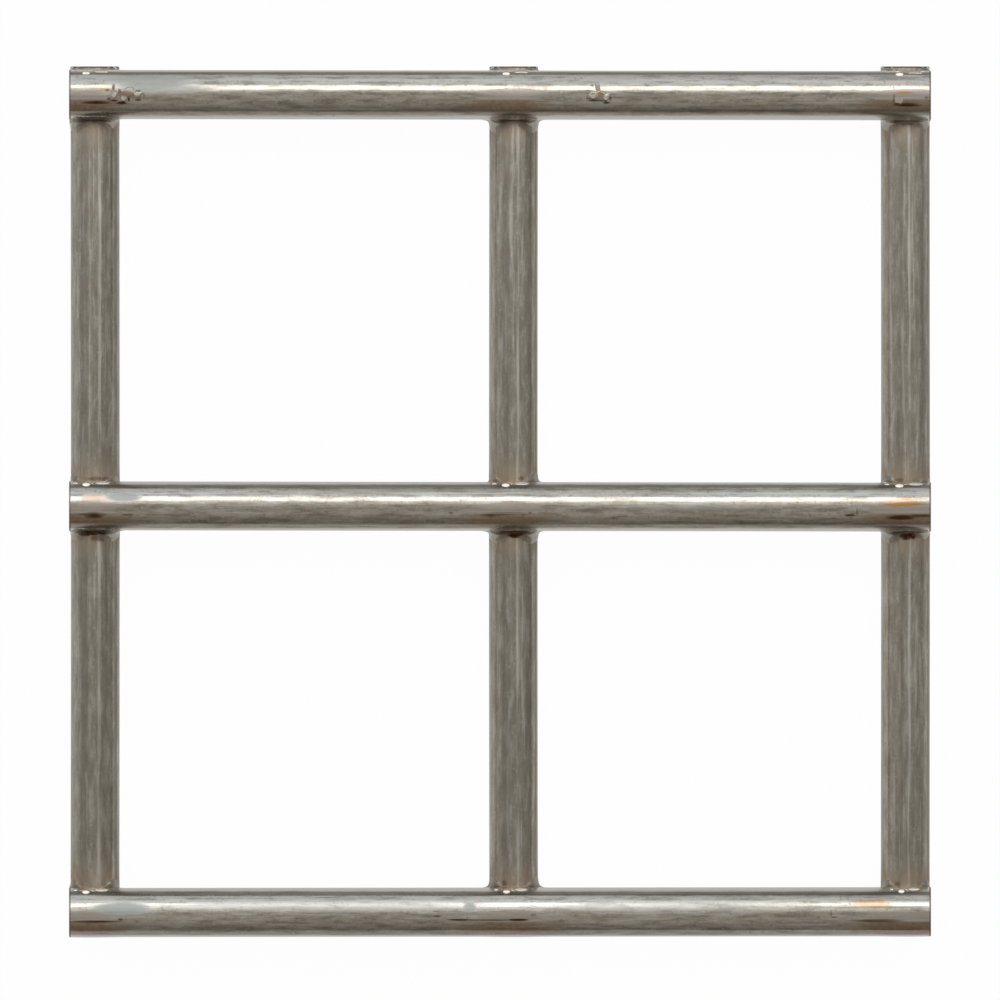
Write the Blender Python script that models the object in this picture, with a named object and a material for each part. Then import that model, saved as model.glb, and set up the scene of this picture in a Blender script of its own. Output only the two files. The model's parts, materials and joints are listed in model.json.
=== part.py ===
"""A square of welded wire mesh, lying flat.

Round steel wires lie in two layers. The line wires run along Y and rest on the floor,
and the cross wires run along X on top of them. Each crossing was squeezed between two
electrodes and resistance-welded. There the wires sink into each other, swell a little,
carry a flat mark on their outer sides, and have a collar of squeezed-out metal round them.
"""

import math

import bmesh
import bpy
from mathutils import Matrix, Vector

MM = 0.001
PANEL_NAME = "welded_mesh_panel"

# Wires
LINE_WIRE_DIAMETER = 6.0 * MM
CROSS_WIRE_DIAMETER = 6.0 * MM
LINE_WIRE_COUNT = 3
CROSS_WIRE_COUNT = 3
WIRE_SIDES = 24

# Spacing, from wire centre to wire centre
LINE_WIRE_PITCH = 50.0 * MM
CROSS_WIRE_PITCH = 50.0 * MM

# How far the middle wires were welded off their place in the grid
MIDDLE_LINE_WIRE_DRIFT = 1.7 * MM
MIDDLE_CROSS_WIRE_DRIFT = -0.35 * MM

# How far the cut ends stand past the sides of the outermost wires, or back from them
LINE_WIRE_OVERHANG_BACK = 0.9 * MM
LINE_WIRE_OVERHANG_FRONT = 0.3 * MM
CROSS_WIRE_SET_BACK = 0.1 * MM

# Welded crossings
SET_DOWN = 2.0 * MM
SWELL = 0.15 * MM
ELECTRODE_MARK_LENGTH = 10.0 * MM
ELECTRODE_MARK_DEPTH = 0.03 * MM
COLLAR_PROUD = 0.3 * MM
COLLAR_CORNER_RADIUS = 0.9 * MM
COLLAR_SLOPE = 1.0 * MM
COLLAR_WALL = 1.8 * MM
COLLAR_SET_BACK = 0.05 * MM
COLLAR_CORNER_SEGMENTS = 4

# Finish
STEEL_COLOUR = (0.20, 0.18, 0.15, 1.0)
STEEL_ROUGHNESS = 0.42
STEEL_METALLIC = 1.0

WELD_TOLERANCE = 0.001 * MM
SHARP_ANGLE = math.radians(30)

# Heights of the two layers of wire
LINE_RADIUS = LINE_WIRE_DIAMETER / 2
CROSS_RADIUS = CROSS_WIRE_DIAMETER / 2
LINE_AXIS_HEIGHT = LINE_RADIUS
CROSS_AXIS_HEIGHT = LINE_WIRE_DIAMETER + CROSS_RADIUS - SET_DOWN
PANEL_THICKNESS = CROSS_AXIS_HEIGHT + CROSS_RADIUS

# A wire swells as far along as the electrodes press on it.
SWELL_REACH = ELECTRODE_MARK_LENGTH / 2


def new_collection(name):
    collection = bpy.data.collections.new(name)
    bpy.context.scene.collection.children.link(collection)
    return collection


def wire_places(count, pitch, drift):
    """The places of the wires of one layer, centred on zero, with the middle one off its place."""
    places = [(index - (count - 1) / 2) * pitch for index in range(count)]
    if count > 2:
        places[count // 2] += drift
    return places


def swell_at(station, crossings, radius):
    """How many times its plain radius a wire has at a station along it."""
    nearest = min(abs(station - crossing) for crossing in crossings)
    if nearest >= SWELL_REACH:
        return 1.0
    share = math.cos(math.pi / 2 * nearest / SWELL_REACH) ** 2
    return 1.0 + share * SWELL / radius


def wire_stations(start, end, crossings):
    """Both ends of a wire, and the stations inside it where the swell of each crossing is shaped."""
    steps = [share * SWELL_REACH for share in (-1.0, -0.5, 0.0, 0.5, 1.0)]
    inner = [crossing + step for crossing in crossings for step in steps]
    spare = SWELL_REACH / 10
    return [start] + sorted(s for s in inner if start + spare < s < end - spare) + [end]


def wire_layer(name, collection, rows):
    """One mesh with all the wires of a layer.

    Each row holds a wire's start and end points, its crossings as distances from the
    start, and its radius.
    """
    radius = rows[0][3]
    curve = bpy.data.curves.new(name, "CURVE")
    curve.dimensions = "3D"
    # The flats of the many-sided wire touch the true circle, so its width is the wire's.
    curve.bevel_depth = radius / math.cos(math.pi / WIRE_SIDES)
    curve.bevel_resolution = WIRE_SIDES // 2 - 2
    curve.use_fill_caps = True
    for start, end, crossings, _ in rows:
        length = (end - start).length
        stations = wire_stations(0.0, length, crossings)
        spline = curve.splines.new("POLY")
        spline.points.add(len(stations) - 1)
        for point, station in zip(spline.points, stations):
            point.co = (*start.lerp(end, station / length), 1.0)
            point.radius = swell_at(station, crossings, radius)
            point.tilt = math.pi / WIRE_SIDES
    tubes = bpy.data.objects.new(name, curve)
    bpy.context.scene.collection.objects.link(tubes)
    graph = bpy.context.evaluated_depsgraph_get()
    mesh = bpy.data.meshes.new_from_object(tubes.evaluated_get(graph))
    weld_caps(mesh)
    place = tubes.matrix_world.copy()
    bpy.data.objects.remove(tubes)
    layer = bpy.data.objects.new(name, mesh)
    layer.matrix_world = place
    collection.objects.link(layer)
    return layer


def weld_caps(mesh):
    """Joins the loose caps of a mesh made from a curve to its tubes."""
    shape = bmesh.new()
    shape.from_mesh(mesh)
    bmesh.ops.remove_doubles(shape, verts=shape.verts, dist=WELD_TOLERANCE)
    shape.to_mesh(mesh)
    shape.free()


def collar_mesh():
    """The metal squeezed out round a weld: a square pad with round corners and sloping rims."""
    seam_height = (LINE_WIRE_DIAMETER + CROSS_AXIS_HEIGHT - CROSS_RADIUS) / 2
    half_width = LINE_RADIUS + COLLAR_PROUD
    half_depth = CROSS_RADIUS + COLLAR_PROUD
    pad = bmesh.new()
    size = (2 * half_width, 2 * half_depth, COLLAR_WALL)
    add_block(pad, Vector((0.0, 0.0, seam_height)), size)
    bmesh.ops.bevel(
        pad,
        geom=[edge for edge in pad.edges if is_upright(edge)],
        offset=COLLAR_CORNER_RADIUS,
        segments=COLLAR_CORNER_SEGMENTS,
        profile=0.5,
        affect="EDGES",
    )
    pad.normal_update()
    for face in [face for face in pad.faces if abs(face.normal.z) > 0.5]:
        rise = math.copysign(COLLAR_SLOPE, face.normal.z)
        rim = bmesh.ops.extrude_discrete_faces(pad, faces=[face])["faces"][0]
        for vert in rim.verts:
            vert.co.x *= 1 - COLLAR_SLOPE / half_width
            vert.co.y *= 1 - COLLAR_SLOPE / half_depth
            vert.co.z += rise
    mesh = bpy.data.meshes.new("weld_collar")
    pad.to_mesh(mesh)
    pad.free()
    return mesh


def is_upright(edge):
    first, second = edge.verts
    return abs((second.co - first.co).normalized().z) > 0.5


def add_collars(collection, crossings, shear_box):
    """A collar at each crossing, cut off where the panel was sheared."""
    mesh = collar_mesh()
    for x, y in crossings:
        collar = bpy.data.objects.new("weld_collar", mesh)
        collar.location = (x, y, 0.0)
        combine(collar, "INTERSECT", shear_box)
        hide_tool(collar)
        collection.objects.link(collar)


def add_shear_box(collection, left, right, front, back):
    """A block inside the lines along which the panel was cut."""
    width = right - left - 2 * COLLAR_SET_BACK
    depth = back - front - 2 * COLLAR_SET_BACK
    centre = Vector(((left + right) / 2, (front + back) / 2, PANEL_THICKNESS / 2))
    block = bmesh.new()
    add_block(block, centre, (width, depth, 2 * PANEL_THICKNESS))
    return add_tool("shear_box", block, collection)


def add_electrode_cutters(collection, crossings):
    """Blocks that press a flat mark into the top and the underside of each crossing."""
    blocks = bmesh.new()
    along = ELECTRODE_MARK_LENGTH
    height = max(LINE_RADIUS, CROSS_RADIUS)
    for x, y in crossings:
        top = Vector((x, y, PANEL_THICKNESS - ELECTRODE_MARK_DEPTH + height / 2))
        base = Vector((x, y, ELECTRODE_MARK_DEPTH - height / 2))
        add_block(blocks, top, (along, CROSS_WIRE_DIAMETER, height))
        add_block(blocks, base, (LINE_WIRE_DIAMETER, along, height))
    return add_tool("electrode_marks", blocks, collection)


def add_tool(name, shape, collection):
    """A hidden object made from a bmesh, to cut other pieces with."""
    mesh = bpy.data.meshes.new(name)
    shape.to_mesh(mesh)
    shape.free()
    tool = bpy.data.objects.new(name, mesh)
    hide_tool(tool)
    collection.objects.link(tool)
    return tool


def add_block(shape, centre, size):
    matrix = Matrix.Translation(centre) @ Matrix.Diagonal((*size, 1.0))
    bmesh.ops.create_cube(shape, size=1.0, matrix=matrix)


def hide_tool(tool):
    tool.hide_render = True
    tool.display_type = "WIRE"


def combine(target, operation, operand):
    """Adds a Boolean with an object or with a whole collection."""
    step = target.modifiers.new(operation.lower(), "BOOLEAN")
    step.operation = operation
    step.solver = "EXACT"
    if isinstance(operand, bpy.types.Collection):
        step.operand_type = "COLLECTION"
        step.collection = operand
    else:
        step.object = operand


def steel_material():
    material = bpy.data.materials.new("drawn_steel_wire")
    material.use_nodes = True
    shader = material.node_tree.nodes["Principled BSDF"]
    shader.inputs["Base Color"].default_value = STEEL_COLOUR
    shader.inputs["Roughness"].default_value = STEEL_ROUGHNESS
    shader.inputs["Metallic"].default_value = STEEL_METALLIC
    material.diffuse_color = STEEL_COLOUR
    return material


def build_panel():
    parts = new_collection(PANEL_NAME)
    tools = new_collection("tools")
    collars = new_collection("weld_collars")

    line_places = wire_places(LINE_WIRE_COUNT, LINE_WIRE_PITCH, MIDDLE_LINE_WIRE_DRIFT)
    cross_places = wire_places(CROSS_WIRE_COUNT, CROSS_WIRE_PITCH, MIDDLE_CROSS_WIRE_DRIFT)

    # The cut ends. The grid moves along Y so that the cut panel is centred on its origin.
    left = line_places[0] - LINE_RADIUS + CROSS_WIRE_SET_BACK
    right = line_places[-1] + LINE_RADIUS - CROSS_WIRE_SET_BACK
    front = cross_places[0] - CROSS_RADIUS - LINE_WIRE_OVERHANG_FRONT
    back = cross_places[-1] + CROSS_RADIUS + LINE_WIRE_OVERHANG_BACK
    grid_shift = -(front + back) / 2
    cross_places = [y + grid_shift for y in cross_places]
    front += grid_shift
    back += grid_shift

    line_rows = [
        (
            Vector((x, front, LINE_AXIS_HEIGHT)),
            Vector((x, back, LINE_AXIS_HEIGHT)),
            [y - front for y in cross_places],
            LINE_RADIUS,
        )
        for x in line_places
    ]
    cross_rows = [
        (
            Vector((left, y, CROSS_AXIS_HEIGHT)),
            Vector((right, y, CROSS_AXIS_HEIGHT)),
            [x - left for x in line_places],
            CROSS_RADIUS,
        )
        for y in cross_places
    ]
    crossings = [(x, y) for x in line_places for y in cross_places]

    panel = wire_layer(PANEL_NAME, parts, line_rows)
    cross_wires = wire_layer("cross_wires", tools, cross_rows)
    hide_tool(cross_wires)
    add_collars(collars, crossings, add_shear_box(tools, left, right, front, back))
    combine(panel, "UNION", cross_wires)
    combine(panel, "UNION", collars)
    combine(panel, "DIFFERENCE", add_electrode_cutters(tools, crossings))

    graph = bpy.context.evaluated_depsgraph_get()
    fused = bpy.data.meshes.new_from_object(panel.evaluated_get(graph))
    panel.modifiers.clear()
    panel.data = fused
    fused.name = PANEL_NAME
    fused.materials.clear()
    fused.materials.append(steel_material())
    fused.shade_smooth()
    fused.set_sharp_from_angle(angle=SHARP_ANGLE)


for leftover in list(bpy.data.objects):
    bpy.data.objects.remove(leftover)
build_panel()
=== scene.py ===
"""A square of welded wire mesh, dressed over its CAD model.

The wires are drawn, welded and fused as the real panel is. Line wires run along Y and lie
on the floor. Cross wires run along X on top of them. Every crossing has a swell, an electrode
mark on its top and underside, a collar of squeezed-out metal, and lumps of it behind the cross
wire. Spatter sticks to the back cross wire.
"""

import json
import math

import bpy
from mathutils import Matrix, Vector, noise

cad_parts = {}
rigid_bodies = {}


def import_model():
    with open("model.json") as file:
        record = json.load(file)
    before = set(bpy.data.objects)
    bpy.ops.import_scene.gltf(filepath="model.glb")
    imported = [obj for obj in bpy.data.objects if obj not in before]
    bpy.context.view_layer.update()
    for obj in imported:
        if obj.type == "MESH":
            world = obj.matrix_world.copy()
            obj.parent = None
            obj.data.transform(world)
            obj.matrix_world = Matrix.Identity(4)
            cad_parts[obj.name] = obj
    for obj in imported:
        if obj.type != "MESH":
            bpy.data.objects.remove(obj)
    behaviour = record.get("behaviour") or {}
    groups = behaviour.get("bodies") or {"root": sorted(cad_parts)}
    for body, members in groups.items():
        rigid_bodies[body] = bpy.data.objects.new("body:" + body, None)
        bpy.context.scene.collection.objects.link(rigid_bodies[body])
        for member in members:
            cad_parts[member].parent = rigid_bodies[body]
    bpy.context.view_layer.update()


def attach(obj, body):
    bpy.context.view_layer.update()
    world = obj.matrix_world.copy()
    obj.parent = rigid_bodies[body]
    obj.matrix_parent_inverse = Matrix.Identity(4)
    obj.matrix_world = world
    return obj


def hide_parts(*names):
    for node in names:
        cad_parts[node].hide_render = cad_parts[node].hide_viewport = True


bl_info = {
    "name": "Welded wire mesh panel",
    "version": (1, 0, 0),
    "blender": (4, 5, 0),
    "location": "View3D > Sidebar > Mesh panel",
    "description": "Draws the wires of a welded mesh panel, welds them and sets the stage",
    "category": "Object",
}

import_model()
CAD_NODE = "welded_mesh_panel"

MM = 0.001
PANEL_NAME = "welded_panel"
COLUMNS = (-1, 0, 1)
ROWS = (-1, 0, 1)


class PanelSizes(bpy.types.PropertyGroup):
    """Sizes of the wires and of the welds."""

    wire_diameter: bpy.props.FloatProperty(
        name="Wire diameter",
        description="Diameter of every wire, just under the size it is sold as",
        default=5.99 * MM,
        unit="LENGTH",
        precision=5,
    )
    pitch: bpy.props.FloatProperty(
        name="Pitch",
        description="Distance from one wire's centre to the next",
        default=50.0 * MM,
        unit="LENGTH",
        precision=4,
    )
    middle_line_drift: bpy.props.FloatProperty(
        name="Middle line wire drift",
        description="How far the middle line wire lies off its place in the grid",
        default=1.7 * MM,
        unit="LENGTH",
        precision=5,
    )
    middle_cross_drift: bpy.props.FloatProperty(
        name="Middle cross wire drift",
        description="How far the middle cross wire lies off its place in the grid",
        default=-0.35 * MM,
        unit="LENGTH",
        precision=5,
    )
    grid_shift: bpy.props.FloatProperty(
        name="Grid shift",
        description="How far the grid lies off the centre of the cut panel, along Y",
        default=-0.3 * MM,
        unit="LENGTH",
        precision=5,
    )
    set_down: bpy.props.FloatProperty(
        name="Set-down",
        description="How far the cross wires sank into the line wires",
        default=2.0 * MM,
        unit="LENGTH",
        precision=5,
    )
    swell: bpy.props.FloatProperty(
        name="Swell",
        description="How much the wires' radius grows at a crossing",
        default=0.05 * MM,
        unit="LENGTH",
        precision=5,
    )
    swell_reach: bpy.props.FloatProperty(
        name="Swell reach",
        description="How far from a crossing a wire is swollen",
        default=5.0 * MM,
        unit="LENGTH",
        precision=5,
    )
    cross_length: bpy.props.FloatProperty(
        name="Cross wire length",
        description="Length of the cross wires between their cut ends",
        default=105.5 * MM,
        unit="LENGTH",
        precision=4,
    )
    line_length: bpy.props.FloatProperty(
        name="Line wire length",
        description="Length of the line wires between their cut ends",
        default=107.3 * MM,
        unit="LENGTH",
        precision=4,
    )
    end_lean: bpy.props.FloatProperty(
        name="End lean",
        description="How far the shear leaned when it cut the wires, so that the tops are shorter",
        default=math.radians(6.2),
        subtype="ANGLE",
    )
    seam_fill: bpy.props.FloatProperty(
        name="Seam fill",
        description="How widely squeezed-out metal rounds the seam between two wires",
        default=1.0 * MM,
        unit="LENGTH",
        precision=5,
    )


class PanelFinish(bpy.types.PropertyGroup):
    """Colours of the steel, of what the weld left on it, and of the light and shade painted on it.
    """

    steel: bpy.props.FloatVectorProperty(
        name="Steel",
        description="Colour of the drawn wire",
        subtype="COLOR",
        size=4,
        default=(0.50, 0.448, 0.37, 1.0),
    )
    # Painted light: the flank of a cross wire towards the lamp is painted in this lighter, cooler
    # colour.
    lit_flank_steel: bpy.props.FloatVectorProperty(
        name="Cool steel",
        description="Colour of the upper back flank of the cross wires, rubbed cleaner",
        subtype="COLOR",
        size=4,
        default=(0.58, 0.56, 0.515, 1.0),
    )
    dull_steel: bpy.props.FloatVectorProperty(
        name="Dull steel",
        description="Colour of the wire where soap and oil from the die have stayed",
        subtype="COLOR",
        size=4,
        default=(0.33, 0.295, 0.24, 1.0),
    )
    line_steel: bpy.props.FloatVectorProperty(
        name="Line wire steel",
        description="Colour of the line wires, which are duller and browner",
        subtype="COLOR",
        size=4,
        default=(0.345, 0.308, 0.248, 1.0),
    )
    # Besides die soap and soot, this colour paints shade in dark lines along both rims of a cross
    # wire and along the right edge of a line wire.
    soap_and_shade: bpy.props.FloatVectorProperty(
        name="Die soap",
        description="Colour of the dark line of die soap along one flank of a wire",
        subtype="COLOR",
        size=4,
        default=(0.16, 0.145, 0.12, 1.0),
    )
    cut_edge: bpy.props.FloatVectorProperty(
        name="Cut edge",
        description="Dark edge round the sheared ends of the wires",
        subtype="COLOR",
        size=4,
        default=(0.06, 0.053, 0.043, 1.0),
    )
    # Besides scratches, rubbed places and cut faces, this colour paints highlight lines along the
    # wires, reflections along the rims of the cross wires, and a highlight on the lip of each
    # electrode mark.
    pale_steel_and_highlight: bpy.props.FloatVectorProperty(
        name="Pale steel",
        description="Colour of scratches and rubbed places",
        subtype="COLOR",
        size=4,
        default=(0.68, 0.66, 0.61, 1.0),
    )
    rubbed_steel: bpy.props.FloatVectorProperty(
        name="Rubbed steel",
        description="Cool grey of the places that are rubbed rough",
        subtype="COLOR",
        size=4,
        default=(0.40, 0.415, 0.40, 1.0),
    )
    heat_tint: bpy.props.FloatVectorProperty(
        name="Heat tint",
        description="Brown of the steel that the weld heated",
        subtype="COLOR",
        size=4,
        default=(0.37, 0.26, 0.17, 1.0),
    )
    straw_tint: bpy.props.FloatVectorProperty(
        name="Straw tint",
        description="Golden orange of steel that the electrode heated less",
        subtype="COLOR",
        size=4,
        default=(0.54, 0.26, 0.065, 1.0),
    )
    rust: bpy.props.FloatVectorProperty(
        name="Rust",
        description="Red brown below the electrode marks",
        subtype="COLOR",
        size=4,
        default=(0.30, 0.15, 0.09, 1.0),
    )
    # Besides scale, this colour paints shadow round the spatter, in the crevices in front of the
    # cross wires, and under their overhang.
    scale: bpy.props.FloatVectorProperty(
        name="Scale",
        description="Dark scale along the edges of the electrode marks and in the crevices",
        subtype="COLOR",
        size=4,
        default=(0.085, 0.04, 0.018, 1.0),
    )
    mark: bpy.props.FloatVectorProperty(
        name="Electrode mark",
        description="Pinkish grey of the flat that the electrode pressed",
        subtype="COLOR",
        size=4,
        default=(0.46, 0.395, 0.355, 1.0),
    )
    weld: bpy.props.FloatVectorProperty(
        name="Weld metal",
        description="Colour of the squeezed-out metal of the collars",
        subtype="COLOR",
        size=4,
        default=(0.42, 0.39, 0.34, 1.0),
    )


class PanelStage(bpy.types.PropertyGroup):
    """The camera, the lamp and the floor."""

    camera_height: bpy.props.FloatProperty(
        name="Camera height",
        description="Height of the camera over the floor",
        default=0.483,
        unit="LENGTH",
    )
    lens: bpy.props.FloatProperty(
        name="Lens",
        description="Focal length of the camera in millimetres",
        default=140.0,
        subtype="DISTANCE_CAMERA",
    )
    lamp_angle: bpy.props.FloatProperty(
        name="Lamp angle",
        description="How far the strip lamp leans from straight overhead towards the back",
        default=math.radians(34.5),
        subtype="ANGLE",
    )
    lamp_distance: bpy.props.FloatProperty(
        name="Lamp distance",
        description="From the panel to the strip lamp",
        default=0.40,
        unit="LENGTH",
    )
    lamp_length: bpy.props.FloatProperty(
        name="Lamp length",
        description="Length of the strip lamp, along X",
        default=0.8,
        unit="LENGTH",
    )
    lamp_width: bpy.props.FloatProperty(
        name="Lamp width",
        description="Width of the strip lamp",
        default=0.125,
        unit="LENGTH",
    )
    lamp_power: bpy.props.FloatProperty(
        name="Lamp power",
        description="Power of the strip lamp in watts",
        default=0.61,
        subtype="POWER",
    )
    floor_size: bpy.props.FloatProperty(
        name="Floor size",
        description="Side of the square floor",
        default=8.0,
        unit="LENGTH",
    )


# The size that the wire is sold as. The layers lie where wires of this size would.
NOMINAL_WIRE = 6.0 * MM
WIRE_SIDES = 80
# The rings along a wire lie this far apart near the crossings, and elsewhere
FINE_STEP = 0.5 * MM
COARSE_STEP = 3.0 * MM
FINE_REACH = 6.0 * MM
# The flat that an electrode pressed into a swell lies this far outside the plain wire.
MARK_HEIGHT = 0.003 * MM
END_CHAMFER = 0.12 * MM
# The faces along a wire have at most this many corners, and its round ends have more.
SIDE_FACE_CORNERS = 8
# The part of a normal along an axis, past which a face is taken to be square to it
SQUARE = 0.99
NEARLY_SQUARE = 0.98
# Past this part, a face at a wire's end is taken to face along the axis.
FACING = 0.5
# Edges that bend by less than this are shaded smooth.
SMOOTH_ANGLE = math.radians(38)

# The ring that a collar is shaped from: its corners round the crossing and round its
# section, its radius and the radius of its section
COLLAR_SEGMENTS = 120
COLLAR_SECTION = 28
RING_RADIUS = 1.0
RING_SECTION = 0.25
COLLAR_ROUGHNESS = 0.035 * MM
COLLAR_GRAIN = 0.7 * MM
# Dimension, lacunarity and octaves of a collar's noise, and its shift per crossing
COLLAR_FRACTAL = (0.8, 2.0, 2)
COLLAR_SEED_SHIFT = (7.3, 3.1, 5.7)
# How many waves the fill has round a collar, roughly, and how much of it they take or give
COLLAR_WAVES = 2.0
COLLAR_WAVE_SHARE = 0.12
# The collar's root lies this deep in the seam and is this thick, and its surface starts this
# far under the wires' surfaces
COLLAR_DEPTH = 0.3 * MM
COLLAR_ROOT = 0.6 * MM
COLLAR_SINK = 0.035 * MM
# Where the collar stands this far out of both wires, its surface is fully rough.
COLLAR_ROUGH_FROM = 0.08 * MM
# A collar's surface is looked for this far out, in steps and then in halves of a step.
COLLAR_REACH = 2.6 * MM
REACH_STEPS = 16
REACH_HALVINGS = 6
# How far to each side a section spreads in the opening of the seam, and its share there
COLLAR_OPENING = math.radians(80)
COLLAR_OPEN_SHARE = 0.8
# Seam fill in front, behind and at the sides of a crossing, as a multiple of the plain fill
SIDE_FILLS = {"front": 0.8, "back": 0.22, "side": 1.5}
# The same for the four corners of each crossing: front left, front right, back left, back right
CORNER_FILLS = {
    (-1, -1): (2.5, 2.6, 2.4, 2.6),
    (0, -1): (2.9, 2.9, 2.95, 2.95),
    (1, -1): (2.5, 2.4, 2.3, 2.2),
    (-1, 0): (2.3, 2.8, 2.1, 2.6),
    (0, 0): (3.3, 3.3, 2.9, 2.9),
    (1, 0): (2.8, 2.3, 2.3, 2.1),
    (-1, 1): (2.6, 2.1, 2.7, 2.7),
    (0, 1): (2.9, 2.9, 2.8, 2.8),
    (1, 1): (2.5, 2.2, 2.8, 2.6),
}
# How sharply the fill behind a crossing gathers in its corners
BACK_GATHERING = 5
# A collar ends this far inside the wires' cut ends.
SHEAR_MARGIN = 0.05 * MM

# How each cross wire and each line wire was welded a little askew, as an angle and a bow
CROSS_TILTS = {-1: math.radians(0.06), 0: math.radians(-0.087), 1: math.radians(-0.087)}
LINE_BOWS = {-1: 0.05 * MM, 0: -0.06 * MM, 1: 0.05 * MM}

# The round plates that lumps and flakes are made of, with a soft upper rim
PLATE_SIDES = 40
PLATE_RIM_STEPS = 4
PLATE_RIM = 0.13 * MM
# The rim takes at most this share of a small plate's half width.
PLATE_RIM_SHARE = 0.6

# Lumps of squeezed-out metal behind each crossing: offset along the cross wire, offset across
# it, half length, half width, height over the cross wire's axis, and thickness, in millimetres
LUMPS = {
    "small": (-2.4, 2.80, 0.34, 0.24, 1.30, 0.9),
    "round": (-1.0, 2.60, 0.54, 0.36, 1.84, 1.0),
    "ridge": (0.1, 2.78, 0.6, 0.25, 1.36, 0.9),
    "long": (0.95, 2.80, 0.98, 0.30, 1.46, 0.9),
}
# How far the lumps of each crossing are moved along the cross wire in millimetres, and how much
# longer they are
LUMP_SHIFTS = {
    (-1, -1): (0.45, 0.95),
    (0, -1): (0.0, 0.9),
    (1, -1): (-0.25, 0.8),
    (-1, 0): (0.55, 1.0),
    (0, 0): (0.0, 1.0),
    (1, 0): (-0.25, 1.05),
    (-1, 1): (0.5, 0.95),
    (0, 1): (0.0, 0.95),
    (1, 1): (-0.3, 1.0),
}
# How far the lumps of each row lean back, are moved across and are lifted, for the rows from
# front to back
LUMP_LEANS = {-1: math.radians(24), 0: math.radians(18), 1: math.radians(12.5)}
LUMP_ASIDE = {-1: 0.1 * MM, 0: 0.0, 1: -0.2 * MM}
LUMP_LIFT = {-1: 0.0, 0: 0.0, 1: 0.2 * MM}
# How much further back the duller lumps lean
EXTRA_LEANS = {"small": math.radians(5), "ridge": math.radians(9)}

# A face this close to a wire's surface, or closer, is finished as that wire.
FINISH_GAP = 0.012 * MM
# Spots on top of the cross wires lie this far over their axes.
SPOT_HEIGHT = 2.0 * MM
SPOT_HALF_HEIGHT = 3.0 * MM
# Depth of the fine relief of the wire and of the weld metal
STEEL_BUMP = 0.004 * MM
WELD_BUMP = 0.02 * MM
SPATTER_VOXEL = 0.07 * MM
SPATTER_THICKNESS = 0.9 * MM
SPATTER_SMOOTHING = 3

# Flakes of each piece of spatter: place along the cross wire, offset across it, half length,
# half width and rise in millimetres, then lean and turn in degrees
SPATTER = {
    "spatter_sliver": (
        (-47.05, 0.35, 0.2, 0.75, 0.10, 4.0, -6.0),
        (-46.95, -0.42, 0.36, 0.42, 0.13, 1.0, -25.0),
        (-45.5, -0.1, 1.25, 0.5, 0.07, -3.0, 0.0),
        (-45.1, 0.38, 0.62, 0.26, 0.08, 4.0, 8.0),
        (-45.75, -0.72, 0.38, 0.5, 0.15, 2.0, -20.0),
        (-44.1, -0.3, 0.45, 0.4, 0.13, 1.0, 25.0),
        (-43.7, -0.1, 0.3, 0.25, 0.09, 0.0, 0.0),
    ),
    "spatter_clasp": (
        (11.35, -0.3, 0.6, 0.52, 0.12, 1.0, 15.0),
        (12.15, -0.3, 0.8, 0.52, 0.08, -3.0, 0.0),
        (13.0, -0.5, 0.34, 0.62, 0.13, 2.0, -28.0),
        (11.9, 0.58, 0.32, 0.68, 0.12, 0.0, 8.0),
    ),
    "spatter_arc": (
        (48.5, -0.8, 0.6, 0.58, 0.08, -3.0, 20.0),
    ),
}

# Spots on the steel: place along X and Y, half sizes, and strength; places and sizes in
# millimetres. Dark scale along the lower edges of the electrode marks, and nicks.
MARK_SPOTS = (
    (-49.45, -1.72, 1.35, 0.38, 1.0),
    (-49.58, -1.62, 2.1, 0.2, 0.8),
    (-45.26, -1.64, 0.85, 0.12, 0.6),
    (-1.22, -1.72, 1.3, 0.25, 0.75),
    (-0.83, -1.72, 0.3, 0.26, 0.8),
    (-0.3, -1.64, 1.9, 0.16, 0.6),
    (0.61, -1.39, 3.2, 0.08, 0.5),
    (3.65, -1.42, 0.27, 0.15, 0.55),
    (2.85, -1.64, 0.27, 0.12, 0.5),
    (-5.96, -1.42, 0.36, 0.14, 0.65),
    (48.86, -1.98, 1.7, 0.32, 1.0),
    (51.1, -1.78, 1.5, 0.18, 0.8),
    (42.58, -1.69, 0.67, 0.17, 0.9),
    (43.43, -1.26, 0.13, 0.55, 0.5),
    (49.66, 48.25, 1.65, 0.25, 1.0),
    (-49.17, 48.52, 1.8, 0.2, 0.95),
    (-49.17, 48.53, 0.55, 0.21, 1.0),
    (-49.03, -51.14, 3.3, 0.15, 1.0),
    (-46.16, -50.88, 0.34, 0.18, 0.8),
    (-4.87, -50.92, 1.5, 0.17, 0.95),
    (-1.46, -50.96, 3.41, 0.11, 0.8),
    (2.19, -50.92, 1.3, 0.18, 1.0),
    (-7.66, -50.52, 0.55, 0.19, 0.65),
    (-7.78, -49.91, 0.49, 0.10, 0.55),
    (4.07, -50.34, 0.36, 0.23, 0.45),
    (45.99, -51.04, 3.2, 0.21, 0.8),
    (40.26, -50.09, 0.15, 0.51, 0.5),
    (40.63, -50.61, 0.49, 0.12, 0.55),
    (51.88, 49.10, 0.32, 0.15, 0.6),
    (39.04, -0.47, 0.07, 0.61, 0.35),
    (42.81, -0.47, 0.07, 0.66, 0.35),
)
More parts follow.
